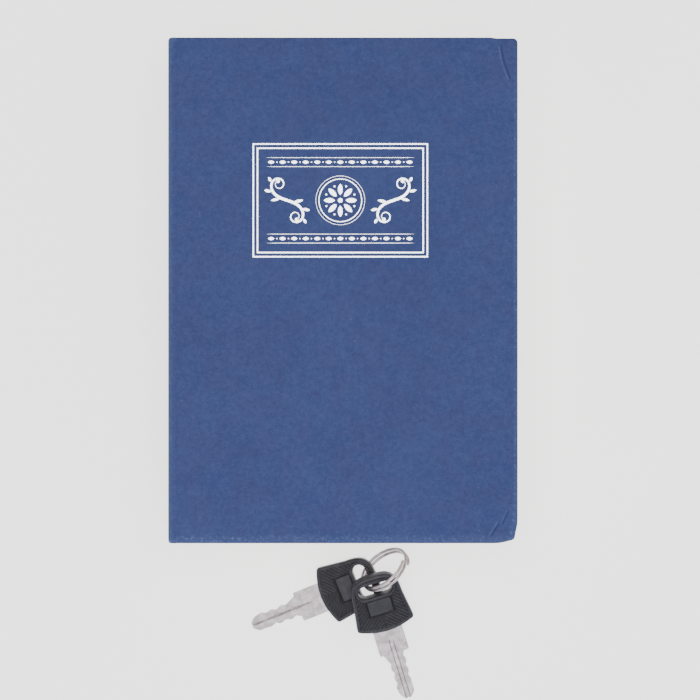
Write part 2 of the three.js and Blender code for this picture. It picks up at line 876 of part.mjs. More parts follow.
console.log(
  "cover joint x " + jointX.toFixed(3) +
    " z " + bookThickness.toFixed(3) +
    ", lid hinge x " + hingeAxisX.toFixed(3) + " z " + hingeAxisZ.toFixed(3) +
    ", lock x " + lockX.toFixed(3) +
    ", tray inside x " + trayRearInner.toFixed(2) + " to " + trayForeInner.toFixed(2) +
    ", half y " + (trayHalf - sheetThickness).toFixed(2) +
    ", lid top " + lidTop.toFixed(2),
);

export default safe;
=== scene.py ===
# %% [markdown]
# # A book with a cash box inside it
#
# This scene dresses a book safe: a hardback in blue cloth paper, a steel box sunk in its glued
# pages, and two keys on a split ring. The rigid frame, with every solid at its true size, is
# loaded first and is never moved. Each visible piece is then either the solid itself with a
# better finish, or a finer surface in its place, worked out with numpy in millimetres.

# %% Load the fixed frame
import json
import math
from functools import reduce

import bmesh
import bpy
import numpy as np
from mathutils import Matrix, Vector


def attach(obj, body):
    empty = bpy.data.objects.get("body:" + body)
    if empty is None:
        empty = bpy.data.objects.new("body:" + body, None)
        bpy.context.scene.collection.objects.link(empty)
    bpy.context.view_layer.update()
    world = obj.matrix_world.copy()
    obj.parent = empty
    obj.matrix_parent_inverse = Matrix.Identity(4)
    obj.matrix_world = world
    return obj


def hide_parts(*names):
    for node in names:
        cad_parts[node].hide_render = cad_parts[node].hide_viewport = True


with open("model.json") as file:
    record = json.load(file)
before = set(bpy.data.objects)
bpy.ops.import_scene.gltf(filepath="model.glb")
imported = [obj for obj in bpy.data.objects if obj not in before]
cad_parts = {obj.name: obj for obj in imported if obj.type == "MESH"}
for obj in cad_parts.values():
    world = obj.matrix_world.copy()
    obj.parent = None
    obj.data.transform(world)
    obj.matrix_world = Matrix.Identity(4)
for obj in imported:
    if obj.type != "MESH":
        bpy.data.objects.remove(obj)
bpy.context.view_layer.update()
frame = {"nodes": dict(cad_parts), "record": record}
nodes = frame["nodes"]
MM = 0.001

# %% [markdown]
# ## The camera
#
# The book is shown square-on from straight above, so the camera hangs over it and looks down.
# Its distance and focal length give the cover 2.813 pixels per millimetre in a 700 pixel frame,
# and its place puts the cover where it belongs, high in the picture with the keys below it.


# %% Camera above the book
def placed(name, data):
    """A new object in the scene that shows this mesh, lamp or camera."""
    made = bpy.data.objects.new(name, data)
    bpy.context.scene.collection.objects.link(made)
    return made


PIXELS, SENSOR = 700, 36.0
COVER_SCALE = 2.813  # pixels per millimetre at the height of the front cover
BOOK_TOP = 55.0
CAMERA_X, CAMERA_Y, CAMERA_RISE = 2.59, -21.21, 900.0  # the rise is above the front cover

lens_data = bpy.data.cameras.new("overhead")
lens_data.sensor_width = SENSOR
lens_data.lens = SENSOR / PIXELS * COVER_SCALE * CAMERA_RISE
overhead = placed("overhead", lens_data)
overhead.location = Vector((CAMERA_X, CAMERA_Y, BOOK_TOP + CAMERA_RISE)) * MM
bpy.context.scene.camera = overhead
print("camera: focal length", round(lens_data.lens, 1), "mm")

# %% [markdown]
# ## From rings of points to a mesh
#
# Most pieces here are a function of two parameters, computed as one array of points whose rows
# are closed rings. The helpers below join each ring to the next with quads, weld the points that
# meet at a seam or a pole, and turn the faces outwards, so every piece is a clean closed shell.


# %% Points
def shares(count):
    """Even shares of the way round, from 0 to just short of 1."""
    return np.arange(count) / count


def pack(*coordinates):
    """One array of points from their x, y and z, which may be arrays or numbers for all."""
    return np.stack(np.broadcast_arrays(*coordinates), axis=-1)


def unpack(points):
    """The x, y and z of an array of points."""
    return np.moveaxis(points, -1, 0)


def polar(angle, radius=1.0):
    """Points at these angles and this distance from the origin."""
    return pack(radius * np.cos(angle), radius * np.sin(angle))


def with_tips(rings):
    """The rings between two more that are shrunk to the middles of the first and the last."""
    tips = np.repeat(rings[[0, -1]].mean(axis=1, keepdims=True), rings.shape[1], axis=1)
    return np.concatenate([tips[:1], rings, tips[1:]])


# %% Rings to mesh
def ring_quads(rings, points, wrap_rows=False, first=0):
    """Corner numbers of the quads between neighbouring rings, which are numbered row by row."""
    here = np.arange(rings if wrap_rows else rings - 1)[:, None]
    c = np.arange(points)
    c_next = (c + 1) % points
    here, below = here * points, (here + 1) % rings * points
    quads = np.stack([here + c, here + c_next, below + c_next, below + c], axis=-1)
    return quads.reshape(-1, 4) + first


def shell_piece(mesh, weld, sharp, work):
    """An object with the mesh, once its points nearer than weld are merged, the work on its faces
    is done, and all but the edges sharper than sharp degrees are shaded smooth."""
    shell = bmesh.new()
    shell.from_mesh(mesh)
    bmesh.ops.remove_doubles(shell, verts=shell.verts, dist=weld)
    work(shell)
    shell.to_mesh(mesh)
    shell.free()
    mesh.validate()
    mesh.shade_smooth()
    if sharp:
        mesh.set_sharp_from_angle(angle=math.radians(sharp))
    print(mesh.name + ":", len(mesh.polygons), "faces")
    return placed(mesh.name, mesh)


def piece_from(name, points, quads, attributes=None, sharp=None, weld=1e-6):
    """A closed piece from an array of points in millimetres and its quads."""
    mesh = bpy.data.meshes.new(name)
    mesh.from_pydata((points.reshape(-1, 3) * MM).tolist(), [], quads.tolist())
    for key, values in (attributes or {}).items():
        mesh.attributes.new(key, "FLOAT", "POINT").data.foreach_set("value", values.ravel())
    outwards = lambda shell: bmesh.ops.recalc_face_normals(shell, faces=shell.faces)
    return shell_piece(mesh, weld, sharp, outwards)


def piece_of_rings(name, rings, wrap_rows=False, **more):
    """A piece from an array of rings, with the last one joined to the first by wrap_rows."""
    return piece_from(name, rings, ring_quads(*rings.shape[:2], wrap_rows), **more)


def seat(piece, body, slot, *solids):
    """The piece rides on its body and stands in for these solids. The slot is not used."""
    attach(piece, body)
    if solids:
        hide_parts(*solids)
    return piece


# %% [markdown]
# ## Shader maths as Python expressions
#
# A finish is easier to read as arithmetic than as a web of nodes. `Signal` wraps one value and
# overloads the operators, so `1 - rub * 0.5` adds its Math nodes by itself. `Finish` holds the
# material, with one method that adds any other node.


# %% Signals and finishes
class Signal:
    """A value on its way through a material, with the arithmetic that shaders lack."""

    def __init__(self, finish, source):
        self.finish = finish
        self.source = source

    def math(self, operation, *terms):
        """The result of a Math node whose inputs are these terms, in order."""
        terms = dict(enumerate(terms))
        node = self.finish.add("ShaderNodeMath", {"operation": operation}, terms)
        return Signal(self.finish, node.outputs[0])

    def __abs__(self):
        return self.math("ABSOLUTE", self)

    def __add__(self, other):
        return self.math("ADD", self, other)

    def __mul__(self, other):
        return self.math("MULTIPLY", self, other)

    def __sub__(self, other):
        return self.math("SUBTRACT", self, other)

    def __rsub__(self, other):
        return self.math("SUBTRACT", other, self)

    __radd__, __rmul__ = __add__, __mul__

    def between(self, low, high):
        """0 below low, 1 above high and smooth between them."""
        node = self.finish.add(
            "ShaderNodeMapRange",
            {"interpolation_type": "SMOOTHSTEP"},
            {"Value": self, "From Min": low, "From Max": high},
        )
        return Signal(self.finish, node.outputs["Result"])


def linear(hex_colour):
    """A colour written as in a picture, such as 445c8e, as the linear numbers that light needs."""
    values = np.array([int(hex_colour[i : i + 2], 16) for i in (0, 2, 4)]) / 255
    values = np.where(values <= 0.04045, values / 12.92, ((values + 0.055) / 1.055) ** 2.4)
    return (*values, 1.0)


class Finish:
    """A material whose nodes are added one by one, round a Principled shader."""

    def __init__(self, name, sockets):
        self.material = bpy.data.materials.new(name)
        self.material.use_nodes = True
        self.tree = self.material.node_tree
        self.tree.nodes.clear()
        self.shader = self.add("ShaderNodeBsdfPrincipled", inputs=sockets)
        self.add("ShaderNodeOutputMaterial", inputs={"Surface": self.shader.outputs[0]})
        self.place = self.add("ShaderNodeTexCoord").outputs["Object"]

    def add(self, kind, settings=None, inputs=None):
        """Any node: its settings first, then the values or links of its sockets."""
        node = self.tree.nodes.new(kind)
        for key, value in (settings or {}).items():
            setattr(node, key, value)
        for key, value in (inputs or {}).items():
            self.feed(node.inputs[key], value)
        return node

    def feed(self, socket, value):
        """Links a signal or a node's output to a socket, or sets the socket to a number."""
        value = value.source if isinstance(value, Signal) else value
        if isinstance(value, bpy.types.NodeSocket):
            self.tree.links.new(value, socket)
        else:
            socket.default_value = value

    def noise(self, size, detail=3.0, roughness=0.6, seed=0.0, stretch=(1, 1, 1), turn=0.0):
        """Soft noise from 0 to 1 whose blotches are size millimetres across. Stretch draws them
        out along x, y and z, and turn sets them at an angle round z."""
        mapping = {
            "Vector": self.place,
            "Location": (seed, seed * 1.7, seed * 0.3),
            "Rotation": (0, 0, turn),
            "Scale": [1 / (size * MM * s) for s in stretch],
        }
        vector = self.add("ShaderNodeMapping", inputs=mapping).outputs[0]
        looks = {"Vector": vector, "Scale": 1.0, "Detail": detail, "Roughness": roughness}
        return Signal(self, self.add("ShaderNodeTexNoise", inputs=looks).outputs[0])

    def attribute(self, name):
        """A value that the mesh carries at each point."""
        node = self.add("ShaderNodeAttribute", {"attribute_name": name})
        return Signal(self, node.outputs["Fac"])

    def colour(self, factor, first, second):
        """The first colour where the factor is 0, and the second where it is 1."""
        node = self.add("ShaderNodeMix", {"data_type": "RGBA"})
        for index, value in ((0, factor), (6, first), (7, second)):
            self.feed(node.inputs[index], linear(value) if isinstance(value, str) else value)
        return node.outputs[2]

    def base(self, *mixed):
        """Feeds the base colour with a mix, as in colour."""
        self.feed(self.shader.inputs["Base Color"], self.colour(*mixed))

    def rough(self, value):
        """Feeds the roughness."""
        self.feed(self.shader.inputs["Roughness"], value)

    def bump(self, height, depth, strength):
        """Relief of depth millimetres between a height of 0 and 1."""
        relief = {"Height": height, "Distance": depth * MM, "Strength": strength}
        relief = self.add("ShaderNodeBump", inputs=relief)
        self.feed(self.shader.inputs["Normal"], relief.outputs[0])

    def on(self, *pieces):
        """Puts the finish on these pieces, or on the solids with these names."""
        for piece in pieces:
            piece = nodes[piece] if isinstance(piece, str) else piece
            if piece.material_slots:
                for material_slot in piece.material_slots:
                    material_slot.material = self.material
            else:
                piece.data.materials.append(self.material)
        print(self.material.name + ":", len(self.tree.nodes), "nodes on", len(pieces), "pieces")


# %% [markdown]
# ## The covers
#
# A hardback's cover is a board with cloth paper drawn over it and folded in at the edges, so every
# edge is softly rounded. The surface is made of closed rings, like contour lines: each ring is the
# cover's outline moved inwards by some distance, at some depth below the outer face. Rings crowd
# together at the edge, where the shape turns, and run out to a single line in the middle.

# %% Outline of a cover
WIDTH, HALF_HEIGHT, COVER = 124.5, 90.0, 3.0
SPINE_X, FORE_X = -WIDTH / 2, WIDTH / 2
JOINT_X = SPINE_X + COVER
GAP = 0.02  # between surfaces that meet at a joint
SIDE_STEPS, CORNER_STEPS = 72, 8
JOINT_HOLD, JOINT_RELEASE = 0.8, 4.0
# Which way each corner points, and its radius: two at the fore edge, then two at the joint.
CORNERS = ((1, -1, 1.3), (1, 1, 1.6), (-1, 1, 0.4), (-1, -1, 0.4))


def cover_ring(inset, from_joint):
    """The cover's outline moved inwards by inset: four sides and four quarter-round corners.

    Along a side, points lie closer near the corners, by a cosine. The corners at the joint are
    nearly square, and that edge stays put at first, because its cloth runs on over the joint."""
    joint_inset = inset * min(max(inset - JOINT_HOLD, 0.0) / JOINT_RELEASE, 1.0)
    x0, x1 = JOINT_X + from_joint + joint_inset, FORE_X - inset
    half = HALF_HEIGHT - inset
    turns = np.linspace(0, np.pi / 2, CORNER_STEPS + 1)
    share = (1 - np.cos(np.pi * np.arange(1, SIDE_STEPS) / SIDE_STEPS)) / 2
    corners = []
    for k, (sx, sy, radius) in enumerate(CORNERS):
        bend = max(radius - inset, 0.3 * radius) + 0.2 * max(inset - 0.7 * radius, 0.0)
        bend = min(bend, (x1 - x0) / 2)
        centre = (x1 if sx > 0 else x0) - sx * bend, sy * (half - bend)
        corners.append(centre + polar((k - 1) * np.pi / 2 + turns, bend))
    parts = []
    for corner, following in zip(corners, corners[1:] + corners[:1]):
        parts += [corner, corner[-1] + share[:, None] * (following[0] - corner[-1])]
    return np.concatenate(parts)


# %% Rings from the outer face to the inner one
OUTER_INSETS = [56, 46, 38, 31, 25, 20, 16, 13, 10.5, 8.5, 7, 5.8, 4.8, 4, 3.3, 2.7, 2.1, 1.6, 1.15]
INNER_INSETS = [14.5, 22, 36, 56]
SKIN, TURN_IN = 0.3, 13.0  # the cloth's thickness, and how far it is folded in
STEP_TOP, STEP_FOOT, STEP_DEPTH = 0.06, 0.26, 0.28  # where the turned-in cloth ends


def edge_rows(depth, edge_round, inner_round, turn_in):
    """Inset and depth of each ring of a slab: flat rings, a quarter round, the side, a smaller
    quarter round, and the inner face, which steps down at turn_in if that isn't 0.

    On a quarter round of radius r, the inset is r (1 - sin a) and the depth r (1 - cos a)."""
    a = np.linspace(0, np.pi / 2, 7)
    by_sine, by_cosine, low = 1 - np.sin(a), 1 - np.cos(a), COVER - depth
    rows = [(inset, depth) for inset in OUTER_INSETS]
    rows += zip(edge_round * by_sine, depth + edge_round * by_cosine)
    rows += [(0.0, COVER / 2)]
    rows += zip(inner_round * by_cosine[::2], low - inner_round * by_sine[::2])
    if turn_in:
        rows += [(turn_in * share, low) for share in (0.1, 0.3, 0.6, 0.985)]
        rows += [(turn_in, low - STEP_TOP), (turn_in, low - STEP_FOOT)]
        low -= STEP_DEPTH
    return rows + [(inset, low) for inset in INNER_INSETS]


# %% [markdown]
# The two corners at the fore edge have been knocked. A knock leaves a crease across the corner, a
# shallow furrow in the cloth, and the board beyond it slopes away and is pushed in a little. The
# cloth and the board under it take the same relief, so they stay one inside the other.


# %% Worn corners
def smooth(t):
    """3 t^2 - 2 t^3, with t kept between 0 and 1."""
    t = np.clip(t, 0, 1)
    return t * t * (3 - 2 * t)


def step(value, low, high):
    """A smooth step: 0 below low and 1 above high."""
    return smooth((value - low) / (high - low))


def along_crease(x, y, start, end):
    """Distance to the left of the line from start to end, and the share of the way along it: two
    sums of products, which arrays and shader signals both understand."""
    run = np.subtract(end, start)
    length = float(np.hypot(*run))
    rx, ry = (float(v) / length for v in run)
    dx, dy = x - start[0], y - start[1]
    return dy * rx - dx * ry, (dx * rx + dy * ry) * (1 / length)


WARP, SINK = 0.06, 0.11  # of the face's slow wave, and of its middle
ROLL_OFF = 3.2  # how far in from its edges a cover begins to fall
# Each crease runs from its first point to its second, and the board beyond it has this slope.
CORNER_CREASES = (((56.0, 88.4), (59.8, 74.6), 0.07), ((59.2, -77.8), (52.6, -88.0), 0.08))
SOFTNESS = 0.5


def front_relief(x, y):
    """Height of the worn outer face against a flat one, in millimetres.

    The sum of a slow warp, which dies away at the joint, a roll-off in the last 3 mm, and at each
    bumped corner a crease beyond which the board is crushed and falls away."""
    height = WARP * np.sin(x / 26 + 0.6) * np.cos(y / 37) - SINK
    height = height * np.clip((x - JOINT_X) / 8, 0, 1)
    edge = np.minimum(FORE_X - x, HALF_HEIGHT - np.abs(y))
    height -= 0.16 * np.clip(1 - edge / ROLL_OFF, 0, 1) ** 2
    for start, end, slope in CORNER_CREASES:
        beyond, share = along_crease(x, y, start, end)
        reach = smooth(1.25 - np.abs(share - 0.45) * 1.15)
        soft = np.log1p(np.exp(np.clip(beyond / SOFTNESS, -30, 30))) * SOFTNESS
        height -= slope * soft * reach
    return height


TAIL_KNOCK, HEAD_KNOCK = 1.1, 0.3


def worn_outline(x, y):
    """Moves the outline in at the two bumped corners, as far as the knocks pushed the board."""
    tail = step(-y, HALF_HEIGHT - 8.5, HALF_HEIGHT) * step(x, 40, 62)
    fore = step(x, FORE_X - 9.0, FORE_X) * step(-y, 60, 90)
    head = step(x, 53.2, 54.4) * step(y, 80, 88)
    return x - tail * fore, y + TAIL_KNOCK * tail * fore**1.5 - HEAD_KNOCK * head


# %% Front and back cover
def cover_piece(name, outer_z, up, ring_rows, shrink=0.0):
    """A closed slab from its rings. up is 1 with the outer face on top and -1 with it underneath,
    and shrink moves every ring inwards, as for the board inside its cloth."""
    insets, depths = np.array(ring_rows, float).T[..., None]
    rings = np.stack([cover_ring(inset + shrink, GAP + shrink) for inset in insets[:, 0]])
    x, y = unpack(rings)
    x[[0, -1]] = x[0].mean()
    free_edge = np.minimum(FORE_X - x, HALF_HEIGHT - np.abs(y))
    at_head, at_tail = step(y, 70, 89), step(-y, 70, 89)
    outer_share = np.clip(1 - depths / COVER, 0, 1) * np.ones_like(x)
    # The rub is rubbed wear and a painted highlight: wider at the tail and faint at the head.
    worn = (1 - 0.8 * at_head) * np.clip(outer_share * 1.6, 0, 1)
    # side is painted shade: the sides of the edges are darker, and the shade reaches further in at
    # the head.
    below = np.clip(depths / (0.5 - 0.38 * at_head), 0, 1)
    wear_and_painted_light = {
        "rub_and_highlight": np.clip(1 - free_edge / (2.0 + 2.0 * at_tail), 0, 1) * worn,
        "side": np.clip(1 - free_edge / (0.5 + 0.5 * at_head), 0, 1) * below,
    }
    if up > 0:
        relief = front_relief(x, y) * outer_share
        x, y = worn_outline(x, y)
    else:
        relief = -0.1 * np.clip(1 - insets / ROLL_OFF, 0, 1) ** 2 * outer_share
    rings = pack(x, y, outer_z - up * (depths - relief))
    return piece_of_rings(name, rings, attributes=wear_and_painted_light, weld=4e-6)


cloth_rows = edge_rows(0.0, 0.8, 0.4, TURN_IN)
board_rows = edge_rows(SKIN, 0.5, 0.3, 0)
front_cloth = cover_piece("front_cover_cloth", BOOK_TOP, 1, cloth_rows)
back_cloth = cover_piece("back_cover_cloth", 0.0, -1, cloth_rows)
front_greyboard = cover_piece("front_greyboard", BOOK_TOP, 1, board_rows, SKIN)
seat(front_cloth, "front_cover", "book_cloth", "front_cover_wrap")
seat(back_cloth, "book", "book_cloth", "back_cover_wrap")
seat(front_greyboard, "front_cover", "greyboard", "front_cover_board")

# %% [markdown]
# ## The spine and its two joints
#
# The cloth runs from the front cover round the spine board to the back cover, and bends through a
# quarter circle at each joint, where the turned-in cloth fills the fold. Seen from the head, that
# is one outer line and one inner line, with a point on the inner one for each point on the outer
# one. Carried from the tail to the head, the two lines make the whole piece, and drawing them
# together closes its ends.

# %% Section of the spine cloth
FOLD_CORE, FOLD_STEPS, SPINE_STEPS = 0.05, 14, 26
spine_low, spine_high = COVER, BOOK_TOP - COVER
fall = np.linspace(0, 1, SPINE_STEPS)
spine_z = spine_high - GAP - fall * (spine_high - spine_low - 2 * GAP)
bow = 0.1 * (2 * fall - 1) ** 4


def quarter(centre_z, radius, start):
    """Points on a quarter circle about a joint's centre line, from an angle in degrees."""
    angle = np.radians(np.linspace(start, start + 90, FOLD_STEPS))
    return (JOINT_X, centre_z) + polar(angle, radius)


def case_line(radius, straight_x):
    """A quarter circle, the straight down the spine, and a quarter circle."""
    straight = pack(straight_x, spine_z)
    front_fold, back_fold = quarter(spine_high, radius, 90), quarter(spine_low, radius, 180)
    return np.concatenate([front_fold, straight, back_fold])


outer = case_line(COVER, SPINE_X + bow)
inner = case_line(FOLD_CORE, JOINT_X - GAP)
thickness = np.linalg.norm(inner - outer, axis=1, keepdims=True)

# %% Ends of the spine cloth
SPINE_EDGE, SPINE_CORNER, SPINE_STATIONS = 0.45, 0.95, 60
turn = np.linspace(0, np.pi / 2, 5)
end_y = HALF_HEIGHT - SPINE_EDGE * (1 - np.sin(turn))
end_inset = SPINE_EDGE * (1 - np.cos(turn))
lengthwise = np.linspace(-0.97, 0.97, SPINE_STATIONS) * HALF_HEIGHT
stations = np.concatenate([[-HALF_HEIGHT], -end_y[::-1], lengthwise, end_y, [HALF_HEIGHT]])
insets = np.concatenate([[COVER], end_inset[::-1], np.zeros(SPINE_STATIONS), end_inset, [COVER]])
pinch = np.minimum(insets[:, None, None] / thickness, 0.5)
drawn_outer, drawn_inner = outer + pinch * (inner - outer), inner + pinch * (outer - inner)
tube_x, tube_z = unpack(np.concatenate([drawn_outer, drawn_inner[:, ::-1]], axis=1))
near_corner = np.clip(SPINE_CORNER - (tube_x - SPINE_X), 0, SPINE_CORNER)
short = SPINE_CORNER - np.sqrt(SPINE_CORNER**2 - near_corner**2)
short = short * step(np.abs(stations), 0.955 * HALF_HEIGHT, HALF_HEIGHT)[:, None]
tube_y = stations[:, None] - np.sign(stations)[:, None] * short
print("spine cloth:", len(stations), "rings of", tube_x.shape[1], "points")

# %% Wear, painted highlight and painted shade of the spine cloth
above_fold = tube_z - spine_high
end_rub = np.clip(1 - (HALF_HEIGHT - np.abs(tube_y)) / 2.4, 0, 1)
# Painted highlight: a paler band on the rounding of the upper joint.
painted_fold_highlight = np.exp(-(((above_fold - 1.8) / 1.3) ** 2)) * 0.35
# Painted shade: a darker band along the fold of the upper joint.
painted_joint_shade = step(above_fold, -1.6, 0.6) * (1 - step(above_fold, 1.3, 2.3))
wear_and_painted_light = {"rub_and_highlight": np.maximum(end_rub, painted_fold_highlight), "side": painted_joint_shade}
tube = pack(tube_x, tube_y, tube_z)
spine_cloth = piece_of_rings("spine_cloth", tube, attributes=wear_and_painted_light, sharp=60)
seat(spine_cloth, "book", "book_cloth", "spine_wrap", "front_joint_cloth", "back_joint_cloth")

# %% [markdown]
# ## Foil stamping
#
# A hot brass stamp presses silver foil into the cloth. The frame is two plain rules round a panel.
# The panel carries a bookbinder's ornament: a rosette between two scrolls, with a row of
# lozenges above and below. Every stroke is a ribbon: a path on the cover with a width that swells
# and tapers, lying a few hundredths of a millimetre proud of the worn face.

# %% Strokes of foil
foil_points, foil_quads = [], []
FOIL_RISE = 0.035
# Across a ribbon as shares of its half width, and up as shares of the rise.
RIBBON = ((1, -0.3), (1, 0.6), (0.8, 1.0), (-0.8, 1.0), (-1, 0.6), (-1, -0.3))


def on_cover(points, rise):
    """Points rise (as a share of the foil's thickness) above the worn face."""
    x, y = unpack(points)
    return pack(x, y, BOOK_TOP + front_relief(x, y) + FOIL_RISE * rise)


def add_foil(rings, wrap_rows=False):
    """Adds an array of rings to the foil's points and quads."""
    first = sum(len(points) for points in foil_points)
    foil_points.append(rings.reshape(-1, 3))
    foil_quads.append(ring_quads(*rings.shape[:2], wrap_rows, first))


def stroke(path, width, closed=False):
    """A ribbon along a path: its section, two low edges and a flat top, is scaled by the width.

    An open ribbon ends in a single point at either end, which closes it."""
    ahead, behind = np.roll(path, -1, axis=0), np.roll(path, 1, axis=0)
    if not closed:
        ahead[-1], behind[0] = path[-1], path[0]
    run = (ahead - behind) / np.linalg.norm(ahead - behind, axis=1, keepdims=True)
    side = pack(-run[:, 1], run[:, 0]) * (np.ones(len(path)) * width)[:, None] / 2
    rings = np.stack([on_cover(path + side * across, rise) for across, rise in RIBBON], axis=1)
    if not closed:
        rings = with_tips(rings)
    add_foil(rings, wrap_rows=closed)


def patch(outline):
    """A filled shape: rings from its middle below, out to its outline, and back to its middle."""
    middle = outline.mean(axis=0)
    rings = ((0.0, -0.3), (1.0, -0.3), (1.0, 0.6), (0.93, 1.0), (0.5, 1.0), (0.0, 1.0))
    add_foil(np.stack([on_cover(middle + (outline - middle) * k, rise) for k, rise in rings]))


def oval(x, y, length, width, angle=0.0, pointed=1.0, steps=20):
    """An oval outline whose ends draw to a point as pointed falls below 1."""
    t = 2 * np.pi * shares(steps)
    u = np.cos(t) * length / 2
    v = np.sin(t) * np.abs(np.sin(t)) ** (1 / pointed - 1) * width / 2
    ca, sa = polar(angle)
    return pack(x + u * ca - v * sa, y + u * sa + v * ca)


# %% Frame of two rules
FRAME_HALF, FRAME_LOW, FRAME_HIGH = 31.24, 11.67, 52.34
PANEL = np.array([-0.85, (FRAME_LOW + FRAME_HIGH) / 2])
RULE, RULE_GAP, RULE_STEPS = 0.58, 0.9, 40


def rectangle(low, high, steps):
    """Points round a rectangle, from its low corner, evenly spaced along each side."""
    box = np.array([low, (high[0], low[1]), high, (low[0], high[1])])
    s = shares(steps)[:, None]
    return np.concatenate([a + s * (b - a) for a, b in zip(box, np.roll(box, -1, axis=0))])


def rule(inset):
    """A rectangular rule: four mitred bars between the rectangle at inset and the one inside it."""
    rows = []
    for across, rise in RIBBON:
        d = inset + RULE * (1 - across) / 2
        half = np.array([FRAME_HALF - d, (FRAME_HIGH - FRAME_LOW) / 2 - d])
        rows.append(on_cover(rectangle(PANEL - half, PANEL + half, RULE_STEPS), rise))
    add_foil(np.stack(rows, axis=1), wrap_rows=True)


rule(0.0)
rule(RULE + RULE_GAP)
print("frame:", 2 * FRAME_HALF, "x", round(FRAME_HIGH - FRAME_LOW, 2), "mm")

# %% Rosette
PETALS, PETAL_OUT, DOT_OUT = 8, 3.9, 5.4
for k in range(PETALS):
    a = k * 2 * np.pi / PETALS
    patch(PANEL + oval(*polar(a, PETAL_OUT), 4.1, 1.8, a, 0.7))
    a += np.pi / PETALS
    patch(PANEL + oval(*polar(a, DOT_OUT), 0.8, 0.8, a))
patch(PANEL + oval(0, 0, 1.8, 1.8))
for radius, width in ((7.6, 0.42), (8.7, 0.22)):
    stroke(PANEL + polar(2 * np.pi * shares(96), radius), width, closed=True)


# %% Scrolls
def scroll(half_length, turns, tilt, steps=320):
    """A double volute: its heading grows with the square of the distance from its middle, so the
    line uncoils, runs nearly straight and coils up the other way. Returns points and headings."""
    u = np.linspace(-1, 1, steps)
    heading = turns * 2 * np.pi * u**2 + tilt
    path = np.cumsum(polar(heading, half_length * 2 / (steps - 1)), axis=0)
    return path - path[steps // 2], heading, u


SCROLL_OUT = 18.9
LEAVES = ((0.1, 0.6, 3.4), (0.27, 0.75, 2.8), (0.43, 0.9, 2.0))  # place, lean and length
curl, heading, u = scroll(21.5, 1.4, math.radians(18))
curl -= (curl.max(axis=0) + curl.min(axis=0)) / 2
swell = 0.34 + 0.8 * (1 - u**2) ** 2


def beside_rosette(points, mirror):
    """A scroll's points at their place on the right of the rosette, or mirrored on its left."""
    return PANEL + (points + (SCROLL_OUT, 0.0)) * (mirror, 1)


for mirror in (1, -1):
    stroke(beside_rosette(curl, mirror), swell)
    for end in (0, -1):
        patch(beside_rosette(oval(*curl[end], 1.5, 1.5), mirror))
    for half in (1, -1):
        for at, lean, size in LEAVES:
            k = round((half * at + 1) / 2 * (len(u) - 1))
            way = heading[k] + (np.pi if half < 0 else 0.0) - lean
            middle = curl[k] + polar(way, size / 2 + 0.5)
            patch(beside_rosette(oval(*middle, size, 1.15, way, 0.6), mirror))

# %% Rows of lozenges
ROW_OUT, LOZENGE_PITCH, LINE_OUT, LINE_HALF = 13.6, 4.1, 1.6, 26.6
line_x = np.linspace(-LINE_HALF, LINE_HALF, 90)
taper = 0.25 * np.clip((27 - np.abs(line_x)) / 3, 0.15, 1)
for row_y in (ROW_OUT, -ROW_OUT):
    for k in range(-6, 7):
        patch(PANEL + oval(k * LOZENGE_PITCH, row_y, 2.4, 1.3, 0, 0.55))
        if k < 6:
            dot_x = k * LOZENGE_PITCH + LOZENGE_PITCH / 2
            patch(PANEL + oval(dot_x, row_y, 0.6, 0.6, steps=12))
    for line_y in (row_y - LINE_OUT, row_y + LINE_OUT):
        stroke(PANEL + pack(line_x, line_y), taper)

foil_points, foil_quads = np.concatenate(foil_points), np.concatenate(foil_quads)
foil = piece_from("foil_stamping", foil_points, foil_quads, weld=2e-7)
seat(foil, "front_cover", "lock_chrome")

# %% [markdown]
# ## The page block
#
# The pages are glued into one block with a window cut through it. Its section is a closed
# rectangle: up the cut edges, across the top page to the window, down the window's wall and
# back below. The section is carried once round, between the block's outline and the window's.
# Hundreds of sheets never line up exactly, so the cut edges wave in and out by a tenth of a
# millimetre, in bundles.

# %% Outlines and waves of the block
BLOCK_LOW, BLOCK_HIGH, LEVELS = 3.22, 51.78, 72
BLOCK = np.array([[JOINT_X + GAP, -86.0], [58.25, 86.0]])
WINDOW = np.array([[-49.25, -72.5], [44.75, 72.5]])
STAND_BACK = 0.1


def block_loop(share):
    """A loop that lies share of the way from the block's outline to the window's."""
    return rectangle(*(BLOCK * (1 - share) + WINDOW * share), 48)


def sheet_wave(level, along):
    """How far a cut edge stands back: bundles of pages, single sheets and a slow wave along it."""
    bundle = np.sin(level * 0.83 + 1.1 * np.sin(along * 19)) * 0.045
    sheets = np.sin(level * 5.1 + 2.0) * 0.03 + np.sin(level * 9.7 + along * 31) * 0.02
    return (STAND_BACK + bundle + sheets)[:, None]


def at_height(line, height):
    """A loop of the plan, lifted to one height."""
    return pack(*unpack(line), height)


# %% Page block
heights = BLOCK_LOW + np.linspace(0, 1, LEVELS) * (BLOCK_HIGH - BLOCK_LOW)
outer_line, window_line = block_loop(0.0), block_loop(1.0)
round_share = np.arange(len(outer_line)) / len(outer_line)
inward = window_line - outer_line
inward /= np.linalg.norm(inward, axis=1, keepdims=True)
off_spine = ~np.isclose(outer_line[:, :1], BLOCK[0, 0])
block = []
for height in heights:
    back = sheet_wave(height, round_share) * off_spine
    block.append(at_height(outer_line + inward * back, height))
block += [at_height(block_loop(share), BLOCK_HIGH) for share in (0.25, 0.5, 0.75)]
for height in heights[::-1]:
    back = (sheet_wave(height, round_share + 0.37) - STAND_BACK) * 0.6
    block.append(at_height(window_line - inward * (0.06 + back), height))
block += [at_height(block_loop(share), BLOCK_LOW) for share in (0.75, 0.5, 0.25)]
pages = piece_of_rings("cut_pages", np.stack(block), wrap_rows=True, sharp=40)
seat(pages, "book", "pages", "page_block")

# %% [markdown]
# ## Pressed and turned metal
#
# The steel box, its hinges and the lock are already right in the frame, but real sheet and turned
# parts have no razor edges. Each is copied, the loose triangles are welded and merged into flat
# faces, and a small bevel rounds the edges. The copy stands in for the solid.

